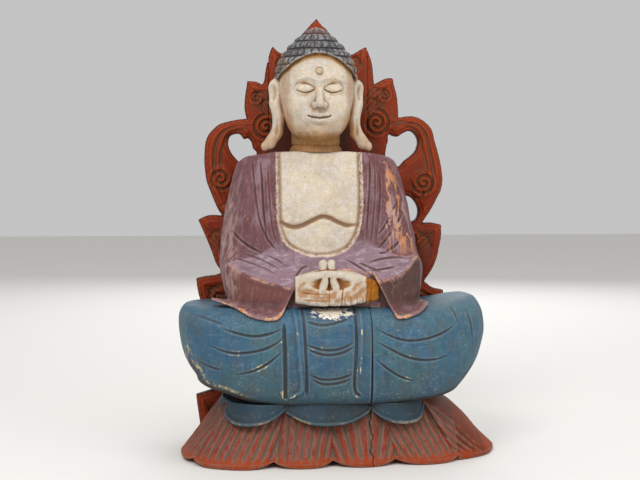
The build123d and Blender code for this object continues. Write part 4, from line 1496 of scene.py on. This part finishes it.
def make_screws():
    """The screws are set into the rails, each turned a little differently."""
    rng = np.random.default_rng(8)
    for node, places in (("figure_screws", FIGURE_SCREWS_X), ("wing_screws", WING_SCREWS_X)):
        parts = []
        for rail in RAILS:
            height = sum(corner[2] for corner in box_mm(rail)) / 2
            for px in places:
                part = carve(f"{node}_{len(parts)}", screw_field, (-7, -16, -7), (7, 3, 7), STEPS["screw"])
                turn = mathutils.Matrix.Rotation(rng.uniform(0, math.pi), 4, "Y")
                place = mathutils.Vector((px, RAIL_BACK - SCREW_SUNK, height)) * MM
                part.data.transform(mathutils.Matrix.Translation(place) @ turn)
                parts.append(part)
        whole = parts[0]
        with bpy.context.temp_override(active_object=whole, selected_editable_objects=parts):
            bpy.ops.object.join()
        whole.name = node + "_slotted"
        present(whole, node, old_steel)


def panel_paint(p):
    p.shader.inputs["Specular IOR Level"].default_value = 0.16
    tone, grit, rim = p.noise(34, 4), p.noise(3.0, 5, 0.7), p.layer("rim")
    dull = p.times(p.span(p.noise(22, 5, 0.65), 0.47, 0.62, 0.55), p.span(rim, -3.0, -14.0))
    from_neck = p.math("ABSOLUTE", p.add(p.x, -HEAD_X), 0.0)
    hollow = p.add(p.times(p.layer("cut"), 0.9), p.times(p.broad, -0.5), p.times(p.fine, -0.5))
    dusty = p.add(hollow, p.times(p.noise(14, 4), 1.3))
    tops = p.add(p.times(p.fine, 0.8), p.times(p.broad, 0.4), grit, p.times(tone, 0.6))
    bare = p.add(p.y, p.times(p.noise(26, 5, 0.6, (1, 1, 0.3)), 5.0))
    bare = p.span(bare, PANEL_BACK + 0.5, PANEL_BACK + 1.8)
    colour = p.coats(
        (122, 40, 14),
        (p.span(tone, 0.38, 0.62), (98, 26, 6)),
        (p.span(p.noise(9, 5, 0.65), 0.46, 0.68, 0.7), (134, 44, 16)),
        (p.span(p.z, 280, 430, 0.6), (138, 54, 24)),
        (dull, (98, 56, 40)),
        (p.span(rim, -14.0, -3.0, 0.3), (150, 46, 8)),
        # painted shadow of the head and neck on the panel
        (p.times(p.span(p.z, 478, 446, 0.75), p.span(from_neck, 72, 46)), (54, 36, 30)),
        # painted shade in the carved hollows
        (p.span(hollow, 0.2, 0.9, 0.8), (62, 24, 12)),
        (p.span(dusty, 1.15, 1.6, 0.4), (128, 92, 66)),
        # painted highlight on the raised carving
        (p.span(tops, 1.25, 1.75, 0.45), (168, 72, 26)),
        (p.span(p.add(rim, p.times(grit, 5.0)), -0.5, 2.2, 0.85), (58, 36, 26)),
        (bare, wood_grain(p)),
    )
    return p.finish(colour, p.span(grit, 0.3, 0.7, 0.7, low=0.42), p.add(grit, p.times(bare, 0.3)))


def wood_grain(p):
    """Bare wood with its grain upright."""
    rings, fibre = p.noise(11, 4, 0.6, (1.0, 1.0, 0.06), 0.6), p.noise(2.0, 3, 0.6, (1.0, 1.0, 0.04))
    return p.coats(
        (150, 104, 66),
        (p.span(rings, 0.38, 0.62), (112, 72, 42)),
        (p.span(fibre, 0.5, 0.68, 0.5), (80, 50, 30)),
        (p.span(p.noise(60, 3), 0.5, 0.65, 0.4), (96, 76, 60)),
    )


def rail_wood(p):
    rings, fibre = p.noise(7, 4, 0.6, (0.05, 1.0, 1.0), 0.6), p.noise(1.6, 3, 0.6, (0.04, 1.0, 1.0))
    colour = p.coats(
        (196, 158, 108),
        (p.span(rings, 0.38, 0.62), (160, 116, 70)),
        (p.span(fibre, 0.5, 0.68, 0.5), (120, 84, 52)),
        (p.span(p.fine, 0.3, 0.8, 0.4), (120, 96, 74)),
    )
    return p.finish(colour, p.span(fibre, 0.3, 0.7, 0.8, low=0.6), p.add(fibre, rings))


def old_steel(p):
    p.shader.inputs["Metallic"].default_value = 0.9
    colour = p.mix(p.span(p.noise(2.5, 4), 0.45, 0.6), (150, 146, 140), (110, 84, 64))
    return p.finish(colour, p.span(p.noise(1.5, 3), 0.3, 0.7, 0.6, low=0.35), p.noise(1.2, 3))


def dowel_wood(p):
    fibre = p.noise(2.0, 3, 0.6, (1.0, 1.0, 0.1))
    colour = p.mix(p.span(fibre, 0.4, 0.64), (206, 172, 122), (168, 126, 78))
    return p.finish(colour, p.span(fibre, 0.3, 0.7, 0.75, low=0.6), fibre)


def finish_dowels():
    """The dowels keep their modelled shape and only get their wood."""
    wood = dowel_wood(Paint("aged_dowel_wood"))
    for node in bpy.context.scene.objects:
        if "_dowel" in node.get("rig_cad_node", ""):
            for slot in node.material_slots:
                slot.material = wood


# ---- floor, light and camera ----------------------------------------------------------
CAMERA_DISTANCE = 1785.0
CAMERA_TURN = math.radians(-5.0)
CAMERA_HEIGHT = 383.0
CAMERA_DIP = math.radians(3.02)
CAMERA_LENS = 73.6


def make_stage():
    bpy.ops.mesh.primitive_plane_add(size=12, location=(0, 0, 0))
    floor = bpy.context.object
    floor.name = "floor"
    matt = bpy.data.materials.new("floor_matt")
    matt.use_nodes = True
    shader = matt.node_tree.nodes["Principled BSDF"]
    shader.inputs["Base Color"].default_value = tint(232, 230, 226)
    shader.inputs["Roughness"].default_value = 0.9
    floor.data.materials.append(matt)
    floor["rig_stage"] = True
    world = bpy.data.worlds.new("studio")
    bpy.context.scene.world = world
    world.use_nodes = True
    sky = world.node_tree.nodes["Background"]
    sky.inputs["Color"].default_value = (1.0, 1.0, 1.0, 1)
    sky.inputs["Strength"].default_value = 0.55
    for name, place, size, power in (
        ("key", (-0.9, -1.8, 2.0), 1.0, 28),
        ("fill", (1.7, -1.6, 1.1), 1.5, 12),
        ("top", (0.2, -0.3, 2.4), 1.4, 12),
        ("back", (0.4, 2.2, 1.4), 1.6, 20),
    ):
        light = bpy.data.objects.new(name, bpy.data.lights.new(name, "AREA"))
        light.data.size = size
        light.data.energy = power
        light.location = place
        aim = mathutils.Vector((0, 0, 0.3)) - light.location
        light.rotation_euler = aim.to_track_quat("-Z", "Y").to_euler()
        bpy.context.scene.collection.objects.link(light)


def make_camera():
    camera = bpy.data.objects.new("camera", bpy.data.cameras.new("camera"))
    camera.data.lens = CAMERA_LENS
    camera.data.sensor_width = 36
    east, south = math.sin(CAMERA_TURN), math.cos(CAMERA_TURN)
    camera.location = (east * CAMERA_DISTANCE * MM, -south * CAMERA_DISTANCE * MM, CAMERA_HEIGHT * MM)
    camera.rotation_euler = (math.pi / 2 - CAMERA_DIP, 0, CAMERA_TURN)
    bpy.context.scene.collection.objects.link(camera)
    bpy.context.scene.camera = camera
    bpy.context.scene.view_settings.view_transform = "Standard"


make_camera()
make_stage()
make_base()
make_lap()
make_upper_body()
make_head()
make_panel()
make_rails()
make_screws()
finish_dowels()
boxes = {"cad": cad_bounds, "visual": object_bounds()}
{name: [list(corner) for corner in box] for name, box in boxes.items()}
